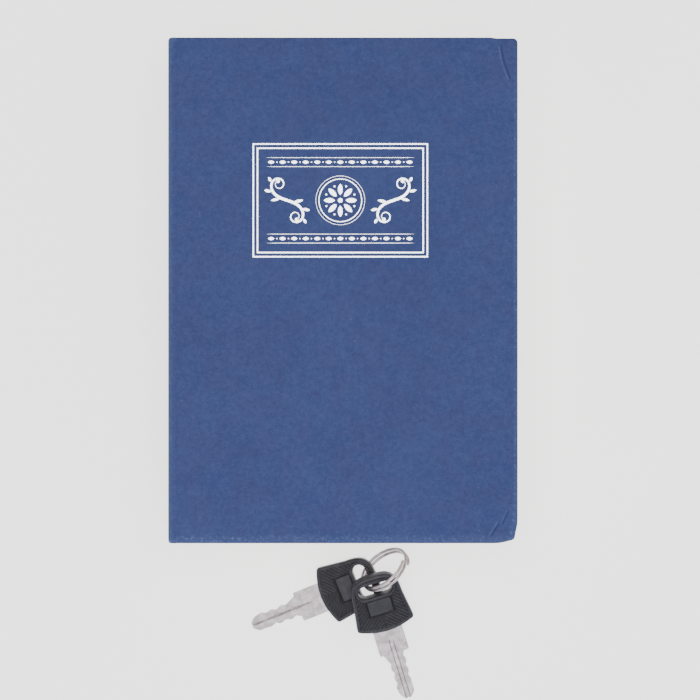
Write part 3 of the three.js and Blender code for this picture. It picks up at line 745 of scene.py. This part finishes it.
# %% Rounded copies of the metal parts
BODIES = frame["record"]["behaviour"]["bodies"]
BODY_OF = {node: body for body, members in BODIES.items() for node in members}
SLOT_OF = {part["node"]: part["material_slot"] for part in frame["record"]["subparts"]}
EDGE_ANGLE = 35


def merge_flat(shell):
    """Merges neighbouring faces that lie in one plane, to 1.5 degrees."""
    edges, verts = shell.edges, shell.verts
    bmesh.ops.dissolve_limit(shell, angle_limit=math.radians(1.5), verts=verts, edges=edges)


def rounded(node, name, width):
    """A welded copy of a solid with a live bevel on its edges, in its place and on its body."""
    mesh = nodes[node].data.copy()
    mesh.name = name
    copy = shell_piece(mesh, 3e-6, EDGE_ANGLE, merge_flat)
    bevel = copy.modifiers.new("soft edges", "BEVEL")
    bevel.width = width * MM
    bevel.segments = 2
    bevel.limit_method = "ANGLE"
    bevel.angle_limit = math.radians(EDGE_ANGLE)
    bevel.harden_normals = True
    return seat(copy, BODY_OF[node], SLOT_OF[node], node)


HINGE_PARTS = {"hinge_box_leaf": 0.12, "hinge_lid_leaf": 0.12, "hinge_pin": 0.15}
edge_widths = {end + part: w for end in ("head_", "tail_") for part, w in HINGE_PARTS.items()}
edge_widths |= {"strike_bracket": 0.2, "lock_washer": 0.12, "lock_nut": 0.3}
edge_widths |= {"lock_cam": 0.2, "cam_washer": 0.1, "cam_screw": 0.15}
painted = [rounded("steel_tray", "box_tray", 0.35), rounded("steel_lid", "box_lid", 0.35)]
zinc_parts = [rounded(node, node + "_metal", width) for node, width in edge_widths.items()]
lock_parts = [rounded("lock_barrel", "lock_body", 0.15), rounded("lock_plug", "lock_core", 0.12)]

# %% [markdown]
# ## The keys
#
# Each key is a nickel-plated blade in a moulded black head. A key is easiest to draw lying flat,
# with x along it towards its ring, so everything on it is worked out there. A turn and a lift
# then put it on the table.

# %% Where each key lies
# The origin in millimetres, and the heading and the pitch in degrees, as in the frame.
KEY_PLACES = {
    "left": ((-7.9777, -114.1142, 4.4129), 22.5, 6.8924),
    "right": ((16.5971, -125.5757, 8.6618), 107.0, 15.6726),
}


def turned(degrees, axis):
    """The matrix of a turn about x, y or z, which are numbered 0, 1 and 2."""
    c, s = math.cos(math.radians(degrees)), math.sin(math.radians(degrees))
    plane = [(axis + 1) % 3, (axis + 2) % 3]
    matrix = np.eye(3)
    matrix[np.ix_(plane, plane)] = [[c, -s], [s, c]]
    return matrix


def moved(points, turn, origin):
    """Points of any array turned by a matrix and then moved to an origin."""
    return (points.reshape(-1, 3) @ turn.T + np.array(origin)).reshape(points.shape)


def laid(points, side):
    """Points in a key's own frame, x along it towards its ring, as the key lies on the table."""
    origin, heading, pitch = KEY_PLACES[side]
    return moved(points, turned(heading, 2) @ turned(-pitch, 1), origin)


# %% [markdown]
# The head's face has a smooth rim, a field of ribs sunk a little below it, a plain panel inside a
# groove, and a long slot for the ring. All of these follow from three distances: to the outline,
# to the slot and to the panel. So the face is a height over the flat outline, as a sum of smooth
# steps of those distances, on a grid that runs along rays from the slot out to the edge.


# %% Outline of a head, and distances on it
def bezier(controls, steps):
    """Points on a Bezier curve: the controls weighted by binomial shares of t and 1 - t."""
    t = shares(steps)[:, None]
    n = len(controls) - 1
    weights = [math.comb(n, k) * (1 - t) ** (n - k) * t**k for k in range(n + 1)]
    return sum(weight * np.array(control, float) for weight, control in zip(weights, controls))


HEAD_THICK = 4.7
BOW_END, SIDE_START, SIDE_END, HEAD_END = (2.22, -10.19), (3.49, -10.88), (13.5, -9.5), (22.5, 0)
half_head = np.concatenate(
    [
        bezier([(0, 0), (0, -5.1), BOW_END], 34),
        bezier([BOW_END, (2.6, -11), SIDE_START], 8),
        bezier([SIDE_START, SIDE_END], 36),
        bezier([SIDE_END, (22.5, -9.5), (22.5, -4.75), HEAD_END], 50),
    ]
)
HEAD = np.concatenate([half_head, [HEAD_END], half_head[:0:-1] * (1, -1)])
SLOT_X, SLOT_STRAIGHT, SLOT_RADIUS = 17.0, 4.0, 2.5
PANEL_FROM, PANEL_TO, PANEL_HALF = 7.0, 13.5, 5.0
from_slot = unpack(HEAD - (SLOT_X, 0))
ray_angle, ray_length = np.arctan2(from_slot[1], from_slot[0]), np.hypot(*from_slot)


def to_outline(x, y):
    """Distance to the head's outline: the least distance to any of its short straight pieces."""
    run = np.roll(HEAD, -1, axis=0) - HEAD
    away = pack(x.ravel(), y.ravel())[:, None, :] - HEAD
    share = np.clip((away * run).sum(-1) / (run**2).sum(-1), 0, 1)
    return np.linalg.norm(away - share[..., None] * run, axis=-1).min(axis=1).reshape(x.shape)


def to_slot(x, y):
    """Distance to the slot's wall: to its straight middle line, less its radius."""
    return np.hypot(x - SLOT_X, np.clip(np.abs(y) - SLOT_STRAIGHT, 0, None)) - SLOT_RADIUS


def into_panel(x, y):
    """Distance inwards from the panel's nearest edge."""
    return np.minimum(np.minimum(x - PANEL_FROM, PANEL_TO - x), PANEL_HALF - np.abs(y))


# %% Moulded heads
EDGE_ROUND, SLOT_ROUND, FIELD_DEPTH, GROOVE_DEPTH, PANEL_DEPTH = 0.95, 0.45, 0.22, 0.42, 0.1
# From where to where each wall runs, as distances from the outline, the slot and the panel's edge.
RIM_WALL, SLOT_WALL, FIELD_WALL = (1.15, 1.5), (0.9, 1.25), (-0.4, -0.1)
GROOVE_WALL, PANEL_WALL = (-0.1, 0.1), (0.4, 0.6)


def rounding(distance, radius):
    """How far a quarter round of this radius has dropped at a distance from its edge."""
    return radius - np.sqrt(radius**2 - np.clip(radius - distance, 0, radius) ** 2)


def slot_edge():
    """Distance from the slot's middle to its wall along each ray: to a straight side where the
    ray meets one, and else to the round end, by the two solutions' larger root."""
    along = np.abs(np.sin(ray_angle)) * SLOT_STRAIGHT
    hits_side = SLOT_RADIUS * np.abs(np.tan(ray_angle)) <= SLOT_STRAIGHT
    cap = along + np.sqrt(np.clip(along**2 - SLOT_STRAIGHT**2 + SLOT_RADIUS**2, 0, None))
    return np.where(hits_side, SLOT_RADIUS / np.abs(np.cos(ray_angle)), cap)


def head_mesh(side):
    """A closed ring-shaped shell: the upper face from edge to slot, the slot's wall, the lower face
    back to the edge, and the outer wall, with one column of points on each ray."""
    inner = slot_edge()
    turn = np.linspace(0, np.pi / 2, 7)
    near_edge = EDGE_ROUND * (1 - np.cos(turn))[:, None] * np.ones_like(inner)
    near_slot = SLOT_ROUND * (1 - np.cos(turn[::-2]))[:, None]
    middle = np.linspace(0, 1, 90)[1:-1, None]
    outer_stop, inner_stop = ray_length - near_edge[-1], inner + near_slot[0]
    middle_rows = outer_stop + middle * (inner_stop - outer_stop)
    radius = np.concatenate([ray_length - near_edge, middle_rows, inner + near_slot])
    x, y = SLOT_X + radius * np.cos(ray_angle), radius * np.sin(ray_angle)
    edge, slot, panel = to_outline(x, y), to_slot(x, y), into_panel(x, y)
    field = step(edge, *RIM_WALL) * step(slot, *SLOT_WALL) * (1 - step(panel, *FIELD_WALL))
    level = step(panel, *PANEL_WALL)
    groove = step(panel, *GROOVE_WALL) * (1 - level)
    height = HEAD_THICK / 2 - rounding(edge, EDGE_ROUND) - rounding(slot, SLOT_ROUND)
    height = height - FIELD_DEPTH * field - GROOVE_DEPTH * groove - PANEL_DEPTH * level
    upper = pack(x, y, height)
    rows = np.concatenate([upper, (upper * (1, 1, -1))[::-1]])
    # Painted shade: darker in the sunk field, darkest in the groove round the panel.
    painted_recess_shade = np.maximum(field * 0.8, groove)
    shade = {"painted_recess_shade": np.concatenate([painted_recess_shade, painted_recess_shade[::-1]])}
    name = side + "_key_grip"
    return piece_of_rings(name, laid(rows, side), True, attributes=shade, sharp=60, weld=2e-6)


# %% Ribs of the heads
RIB_PITCH, RIB_WIDTH, RIB_RISE, RIB_ROOT = 1.1, 0.62, 0.29, 0.03
RIB_SLANT, RIB_STEP, LEAST_STEPS = math.radians(48), 0.1, 7
by_angle = np.stack([ray_angle, ray_length])[:, np.argsort(ray_angle)]
half_runs = []
for k in range(-8, 40):
    t = np.arange(-26, 26, RIB_STEP)
    x = k * RIB_PITCH / math.sin(RIB_SLANT) - t * math.cos(RIB_SLANT)
    y = t * math.sin(RIB_SLANT)
    inside = np.hypot(x - SLOT_X, y) < np.interp(np.arctan2(y, x - SLOT_X), *by_angle)
    inside &= (to_outline(x, y) > 1.3) & (to_slot(x, y) > 1.1) & (into_panel(x, y) < -0.25)
    inside &= y > 0.25
    cuts = np.flatnonzero(np.diff(np.concatenate([[0], inside.astype(int), [0]])))
    for start, stop in cuts.reshape(-1, 2):
        if stop - start > LEAST_STEPS:
            half_runs.append([(x[start], y[start]), (x[stop - 1], y[stop - 1])])
rib_runs = [np.array(run) * (1, mirror) for mirror in (1, -1) for run in half_runs]
print("ribs on a face:", len(rib_runs))


def rib_mesh(side):
    """All the ribs of one key, on both faces: a half-round bar with drawn-in ends for each run."""
    turn = np.radians([0, 36, 72, 108, 144, 180])
    along = np.array([0.0, 0.03, 0.97, 1.0])[:, None]
    swell = np.array([0.25, 1.0, 1.0, 0.25])[:, None]
    offset = np.cos(turn) * (RIB_WIDTH / 2 * swell)
    rise = np.sin(turn) * RIB_RISE * swell - FIELD_DEPTH - RIB_ROOT
    bars = []
    for face in (1, -1):
        for start, end in rib_runs:
            run = (end - start) / np.linalg.norm(end - start)
            flat = (start + along * (end - start))[:, None]
            flat = flat + offset[..., None] * pack(-run[1], run[0])
            bars.append(pack(*unpack(flat), face * (HEAD_THICK / 2 + rise)))
    bars = np.stack(bars)
    ends = np.array([[0, 1, 4, 5], [1, 2, 3, 4]])
    bar_quads = np.concatenate([ring_quads(len(along), len(turn)), ends, ends + 3 * len(turn)])
    first = np.arange(len(bars))[:, None, None] * offset.size
    points, quads = laid(bars, side).reshape(-1, 3), (bar_quads + first).reshape(-1, 4)
    return piece_from(side + "_key_ribs", points, quads, sharp=50)


# %% [markdown]
# A blade is a flat bar whose two flanks are cut to the lock's code. Its section is a rounded
# rectangle with a milled groove in the upper face. The section is carried along the key, and at
# each station its two half widths follow the flanks: a wide shoulder, then smooth cuts, then the
# tip. The two keys show opposite faces, so one has a narrow groove and the other a wide one.

# %% Flanks of a blade
SHOULDER_X, TAPER_X, TIP_X, IN_HEAD_X = -9.5, -25.9, -28.5, 2.4
SHOULDER_HALF, SHANK_HALF, TIP_HALF, BLADE_HALF = 5.6, 3.5, 1.0, 1.0
CUT_DEPTH, LAST_CUT = 1.3, 0.5
UPPER_CUTS = (0.1, 0.75, 0.35, 0.95, 0.45, 0.8, 0.2)
LOWER_CUTS = (0.6, 0.15, 0.7, 0.3, 0.85, 0.4, 0.55)
BLADE_EDGE, RAMP_SLOPE = 0.24, 0.44


def flank(x, cuts, lean):
    """Half width at x: the shoulder, a straight ramp that starts lean above the shank, cuts joined
    by smooth steps from one depth to the next, and a taper to the tip as a power of 1.6."""
    knots = np.linspace(SHOULDER_X, TAPER_X, len(cuts) + 2)
    depths = np.array([0.0, *cuts, LAST_CUT])
    width = np.full_like(x, SHANK_HALF)
    for at, to, depth, following in zip(knots, knots[1:], depths, depths[1:]):
        width = width - CUT_DEPTH * (following - depth) * step(-x, -at, -to)
    width = np.maximum(width, SHANK_HALF + lean - RAMP_SLOPE * (SHOULDER_X - x))
    past = np.clip((TAPER_X - x) / (TAPER_X - TIP_X), 0, 1)
    width = width - (SHANK_HALF - CUT_DEPTH * LAST_CUT - TIP_HALF) * past**1.6
    corner = rounding(x - SHOULDER_X, BLADE_EDGE)
    return np.where(x >= SHOULDER_X, SHOULDER_HALF - corner, width)


# %% Blades
BLADE_FLAT = 0.07  # a short flat beside each rounded edge, which keeps the faces' shading even
GROOVE_HALVES = {"left": (0.42, 0.06), "right": (1.0, 0.6)}  # at its top and at its floor
MILLED_DEPTH, MILLED_FROM, MILLED_TO = 0.5, 3.6, 6.2


def blade_mesh(side):
    """The section carried from the head to the tip. The groove runs out behind the shoulder, and
    at both ends the section draws together to a point."""
    turn = np.linspace(0, np.pi / 2, 4)
    sine, cosine = np.sin(turn), np.cos(turn)
    x = np.concatenate(
        [
            np.linspace(IN_HEAD_X, SHOULDER_X + BLADE_EDGE, 14),
            SHOULDER_X + BLADE_EDGE * (1 - sine[1:-1]),
            [SHOULDER_X, SHOULDER_X - 0.01],
            np.linspace(SHOULDER_X - 0.1, TIP_X + BLADE_EDGE, 190)[:-1],
            TIP_X + BLADE_EDGE * (1 - cosine)[::-1],
        ]
    )[:, None]
    draw_in = rounding(x - TIP_X, BLADE_EDGE)
    level = BLADE_HALF - draw_in
    beside = [-BLADE_FLAT / BLADE_EDGE]
    out = BLADE_EDGE * np.concatenate([beside, sine, cosine, beside])
    up = BLADE_EDGE * np.concatenate([[1], cosine, sine, [1]])

    def half_section(half):
        """One flank from the upper face round its two edges to the lower face."""
        height = (level - BLADE_EDGE + up) * np.repeat([1, -1], len(up) // 2)
        return pack(half - draw_in - BLADE_EDGE + out, height)

    top, floor_half = GROOVE_HALVES[side]
    across = np.array([-top - BLADE_FLAT, -top, -floor_half, floor_half, top, top + BLADE_FLAT])
    depth = MILLED_DEPTH * step(-x, MILLED_FROM, MILLED_TO)
    groove = pack(across, level - depth * [0, 0, 1, 1, 0, 0])
    upper, lower = half_section(flank(x, UPPER_CUTS, 0.9)), half_section(flank(x, LOWER_CUTS, 0.0))
    section = np.concatenate([upper, -lower, groove], axis=1)
    rows = with_tips(pack(x, *unpack(section)))
    return piece_of_rings(side + "_key_steel", laid(rows, side), sharp=32, weld=2e-6)


# %% Both keys
plastic_parts, nickel_parts = [], []
for side in KEY_PLACES:
    body = side + "_key"
    plastic_parts.append(seat(head_mesh(side), body, "key_plastic", body + "_head"))
    plastic_parts.append(seat(rib_mesh(side), body, "key_plastic"))
    nickel_parts.append(seat(blade_mesh(side), body, "key_nickel", body + "_blade"))

# %% [markdown]
# ## The split ring
#
# A split ring is spring wire wound twice round. Its centre line is a coil of a constant radius that
# climbs steadily, and a circle carried along it makes the wire. At both ends the circle
# shrinks as a quarter circle does, which rounds the cut ends.

# %% Coiled wire
RING_PLACE, RING_LEAN, RING_HEADING = (15.5, -103.2, 9.37), 120, 40
RING_RADIUS, WIRE, TURNS, TURN_RISE, FIRST_ANGLE = 9.5, 1.2, 2, 1.65, math.radians(35)
t = np.linspace(0, 1, TURNS * 110 + 1)[:, None]
angle = FIRST_ANGLE + 2 * np.pi * TURNS * t
from_end = np.minimum(t, 1 - t) * 2 * np.pi * RING_RADIUS * TURNS
rounding_off = np.clip(from_end / (WIRE * 0.6), 0, 1)
girth = WIRE / 2 * np.sqrt(np.clip(1 - (1 - rounding_off) ** 2, 1e-6, 1))
sides = 2 * np.pi * shares(16)
reach = RING_RADIUS + girth * np.cos(sides)
climb = (TURNS * t - TURNS / 2) * TURN_RISE + girth * np.sin(sides)
wire = pack(*unpack(polar(angle, reach)), climb)
wire = moved(wire, turned(RING_HEADING, 2) @ turned(RING_LEAN, 0), RING_PLACE)
split_ring = piece_of_rings("split_ring", wire, weld=3e-6)
seat(split_ring, "key_ring", "key_nickel", "key_ring")
nickel_parts.append(split_ring)

# %% [markdown]
# ## Finishes
#
# The cloth paper is not one blue. Under a glass it is a felt of lighter and darker fibres, with a
# few pale specks, and it is rubbed paler where hands and shelves have touched it: along the edges.
# That paler band is also a painted highlight, wide at the tail and faint at the head, and the sides
# of the edges and the joint carry painted shade. The mesh carries how near its edge each point is,
# and noise at four sizes does the rest.

# %% Blue cloth paper
cloth = Finish("blue_cloth_paper", {"Roughness": 0.82, "Specular IOR Level": 0.25})
fibres = cloth.noise(0.7, 4.0, 0.7, 1.3)
grain = cloth.noise(1.7, 3.0, 0.65, 6.4)
patches = cloth.noise(5.0, seed=4.1)
clouds = cloth.noise(30.0, 2.0, 0.5, 7.7)
hue = cloth.noise(9.0, seed=15.0).between(0.4, 0.6)
thread_x = cloth.noise(0.35, 2.0, 0.5, 2.0, stretch=(9, 1, 1))
thread_y = cloth.noise(0.35, 2.0, 0.5, 9.0, stretch=(1, 9, 1))
specks = cloth.noise(0.8, 1.0, 0.5, 12.0).between(0.76, 0.84)
flecks = cloth.noise(1.1, 3.0, 0.7, 21.0).between(0.5, 0.72)
rub_and_highlight = cloth.attribute("rub_and_highlight").between(0.05, 0.6)
tone = (fibres * 0.35 + grain * 0.35 + patches * 0.18 + clouds * 0.12).between(0.36, 0.64)
blue = cloth.colour(tone, cloth.colour(hue, "374578", "3c4374"), "455285")
# Paler flecked band at the edges: rubbed wear and a painted highlight.
blue = cloth.colour(rub_and_highlight * (flecks * 0.4 + 0.06), blue, "7288b8")
# Painted shade: a darker, greyer blue on the sides of the edges and along the joint.
blue = cloth.colour(cloth.attribute("side") * 0.55, blue, "333f58")
blue = cloth.colour(specks * 0.3, blue, "8fa3c6")

# %% [markdown]
# A crease shows as a thin dark line of painted shade where the cloth is folded in, and a paler
# line of painted highlight beside it where the fold stands up. Each stretch is a straight line on
# the cover, so the mesh's own function gives the distance to it, and a smooth step turns that into
# a band.

# %% Creases of the worn corners
place_parts = cloth.add("ShaderNodeSeparateXYZ", inputs={"Vector": cloth.place}).outputs
at_x, at_y, at_z = (Signal(cloth, socket) for socket in place_parts)


def crease_band(start, end, width, shift=0.0):
    """1 on the line from start to end, in millimetres, falling to 0 at width beside it."""
    beyond, share = along_crease(at_x, at_y, np.array(start) * MM, np.array(end) * MM)
    ends = share.between(-0.06, 0.14) * (1 - share.between(0.86, 1.06))
    return (1 - abs(beyond - shift * MM).between(0.0, width * MM)) * ends


def strongest(bands):
    """Several bands as one, by Maximum nodes."""
    return reduce(lambda one, other: one.math("MAXIMUM", one, other), bands)


CREASES = (  # start, end, width, and where its paler line lies
    ((56.3, 87.2), (57.1, 82.4), 0.6, -0.8),
    ((57.0, 82.7), (58.1, 79.0), 0.8, -0.8),
    ((58.0, 79.4), (59.7, 75.0), 0.65, -0.8),
    ((52.6, -87.7), (55.9, -82.4), 0.6, 0.75),
    ((56.7, -83.4), (59.1, -78.2), 0.5, 0.75),
)
on_front = at_z.between((BOOK_TOP - 1.2) * MM, (BOOK_TOP - 1.0) * MM)
crease_furrow_painted_shade = strongest([crease_band(*crease[:3]) for crease in CREASES]) * on_front
crease_ridge_painted_highlight = strongest([crease_band(*crease) for crease in CREASES]) * on_front
# Painted highlight on the paler line beside each crease, and painted shade in its dark line.
blue = cloth.colour(crease_ridge_painted_highlight * (fibres * 0.3), blue, "7288b8")
cloth.base(crease_furrow_painted_shade * 0.8, blue, "2b3a66")
threads = fibres * 0.5 + thread_x * 0.3 + thread_y * 0.3
cloth.bump(threads + crease_ridge_painted_highlight * 0.8 - crease_furrow_painted_shade * 2, 0.05, 0.55)
cloth.on(front_cloth, back_cloth, spine_cloth)

# %% Silver foil
silver = Finish("silver_foil", {"Metallic": 0.9, "Roughness": 0.24})
flakes = silver.noise(0.7, seed=3.0)
silver.base(flakes.between(0.35, 0.7), "e2e6f5", "f4f6ff")
silver.bump(flakes, 0.012, 0.4)
silver.on(foil)

# %% Greyboard and paper
board = Finish("greyboard", {"Roughness": 0.95})
pulp = board.noise(0.9, 4.0, 0.7)
board.base(pulp, "7d7a70", "9a968b")
board.bump(pulp, 0.05, 0.5)
board.on(front_greyboard, "back_cover_board", "spine_board")

paper = Finish("endpaper", {"Roughness": 0.9})
felt = paper.noise(0.5, 4.0, 0.7)
wash = paper.noise(22.0, 2.0, 0.5)
paper.base(felt * 0.4 + wash * 0.6, "e6e1d5", "f4f1e9")
paper.bump(felt, 0.02, 0.4)
paper.on("front_endpaper", "back_endpaper")

# %% [markdown]
# Cut pages show as fine lines that run the same way on every edge, one above the other. So the
# noise is drawn out along the table and squeezed in height. On the top page, which is level,
# the same noise gives one even tone, as a flat sheet has.

# %% Page edges
edges = Finish("page_edges", {"Roughness": 0.93})
fine = edges.noise(0.16, 2.0, seed=2.0, stretch=(400, 400, 1))
groups = edges.noise(1.1, 2.0, 0.5, 5.0, stretch=(200, 200, 1))
soil = edges.noise(16.0, seed=8.0).between(0.4, 0.9)
lines = (fine * 0.6 + groups * 0.4).between(0.34, 0.66)
leaf = edges.colour(lines, "c6bb9f", "f1ead8")
edges.base(soil * 0.2, leaf, "cdbf9c")
edges.bump(lines, 0.08, 0.6)
edges.on(pages)

# %% Painted steel, zinc and chrome
coat = Finish("black_powder_coat", {"Roughness": 0.5})
pebble = coat.noise(0.45)
dust = coat.noise(9.0, seed=3.0).between(0.3, 0.8)
coat.base(dust, "18191c", "1f2125")
coat.rough(pebble * 0.18 + 0.4)
coat.bump(pebble, 0.05, 0.45)
coat.on(*painted)

zinc = Finish("zinc_plate", {"Metallic": 1.0, "Roughness": 0.35})
brushed = zinc.noise(0.25, stretch=(1, 14, 1))
spangle = zinc.noise(2.2, 2.0, 0.5, 6.0)
zinc.base(spangle, "a9adb2", "d2d4d7")
zinc.rough(brushed * 0.2 + 0.24)
zinc.bump(brushed, 0.01, 0.4)
zinc.on(*zinc_parts)

bright = Finish("lock_plate", {"Metallic": 1.0, "Roughness": 0.12})
haze = bright.noise(0.8)
bright.base(haze, "c9cbd0", "e2e3e6")
bright.rough(haze * 0.16 + 0.06)
bright.on(*lock_parts)

# %% [markdown]
# The key heads are black plastic with a dull, slightly grainy skin, and painted shade darkens the
# sunk field and the groove round the panel, which the mesh marks point by point. The blades are
# plated and polished along their length, so their fine scratches are drawn out along each key,
# which the Mapping node does by turning the noise to the key's heading.

# %% Key plastic and nickel
plastic = Finish("key_plastic", {"Roughness": 0.5, "Specular IOR Level": 0.32})
skin = plastic.noise(0.22, 3.0, 0.65)
worn = plastic.noise(3.0, seed=5.0).between(0.35, 0.75)
black = plastic.colour(worn, "2c2b34", "393843")
painted_recess_shade = plastic.attribute("painted_recess_shade")
# Painted shade in the sunk field and the panel's groove.
plastic.base(painted_recess_shade * 0.9, black, "09090c")
plastic.rough(skin * 0.16 + 0.34)
plastic.bump(skin, 0.03, 0.5)
plastic.on(*plastic_parts)

headings = [heading for _, heading, _ in KEY_PLACES.values()] + [RING_HEADING]
for piece, heading in zip(nickel_parts, headings):
    nickel = Finish(piece.name + "_nickel", {"Metallic": 1.0, "Roughness": 0.3})
    scratch = nickel.noise(0.12, stretch=(30, 1, 1), turn=-math.radians(heading))
    tarnish = nickel.noise(2.6, 4.0, 0.65, 4.0).between(0.3, 0.7)
    nickel.base(tarnish, "aca4aa", "dcd3d9")
    nickel.rough(scratch * 0.2 + 0.32)
    nickel.bump(scratch, 0.01, 0.35)
    nickel.on(piece)

# %% [markdown]
# ## Light
#
# The picture is lit like a catalogue page: an even white surround and a broad soft light above.
# Two weaker lights stand in front, so the edges near the viewer are paler than those behind.

# %% Floor
FLOOR = 6  # metres from the middle to each side
floor_mesh = bpy.data.meshes.new("floor")
floor_corners = [(-FLOOR, -FLOOR, 0), (FLOOR, -FLOOR, 0), (FLOOR, FLOOR, 0), (-FLOOR, FLOOR, 0)]
floor_mesh.from_pydata(floor_corners, [], [(0, 1, 2, 3)])
floor = placed("floor", floor_mesh)
floor.location.z = -0.0002
floor_looks = {
    "Base Color": (0.9, 0.9, 0.9, 1),
    "Roughness": 0.9,
    "Emission Color": (1, 1, 1, 1),
    "Emission Strength": 1.7,
}
Finish("pale_floor", floor_looks).on(floor)


# %% Lights and surround
def soft_light(name, place, target, size, brightness):
    """A square area light at place, turned towards target. Its power is the brightness of its
    face times its area times pi, as for any evenly bright flat lamp."""
    data = bpy.data.lights.new(name, "AREA")
    data.shape = "SQUARE"
    data.size = size
    data.energy = brightness * size**2 * math.pi
    lamp = placed(name, data)
    lamp.location = place
    aim = Vector(target) - Vector(place)
    lamp.rotation_euler = aim.to_track_quat("-Z", "Y").to_euler()
    print(name + ":", round(data.energy, 2), "W")


soft_light("ceiling_softbox", (0, 0.06, 1.5), (0, 0.02, 0), 0.85, 6.2)
soft_light("left_softbox", (-0.75, -0.7, 0.8), (0, 0, 0), 0.45, 3.4)
soft_light("front_softbox", (0.2, -1.1, 0.9), (0.02, -0.12, 0), 0.7, 3.2)
surround = bpy.data.worlds.new("surround")
surround.use_nodes = True
sky = surround.node_tree.nodes["Background"].inputs
sky["Color"].default_value = (1, 1, 1, 1)
sky["Strength"].default_value = 0.35
bpy.context.scene.world = surround
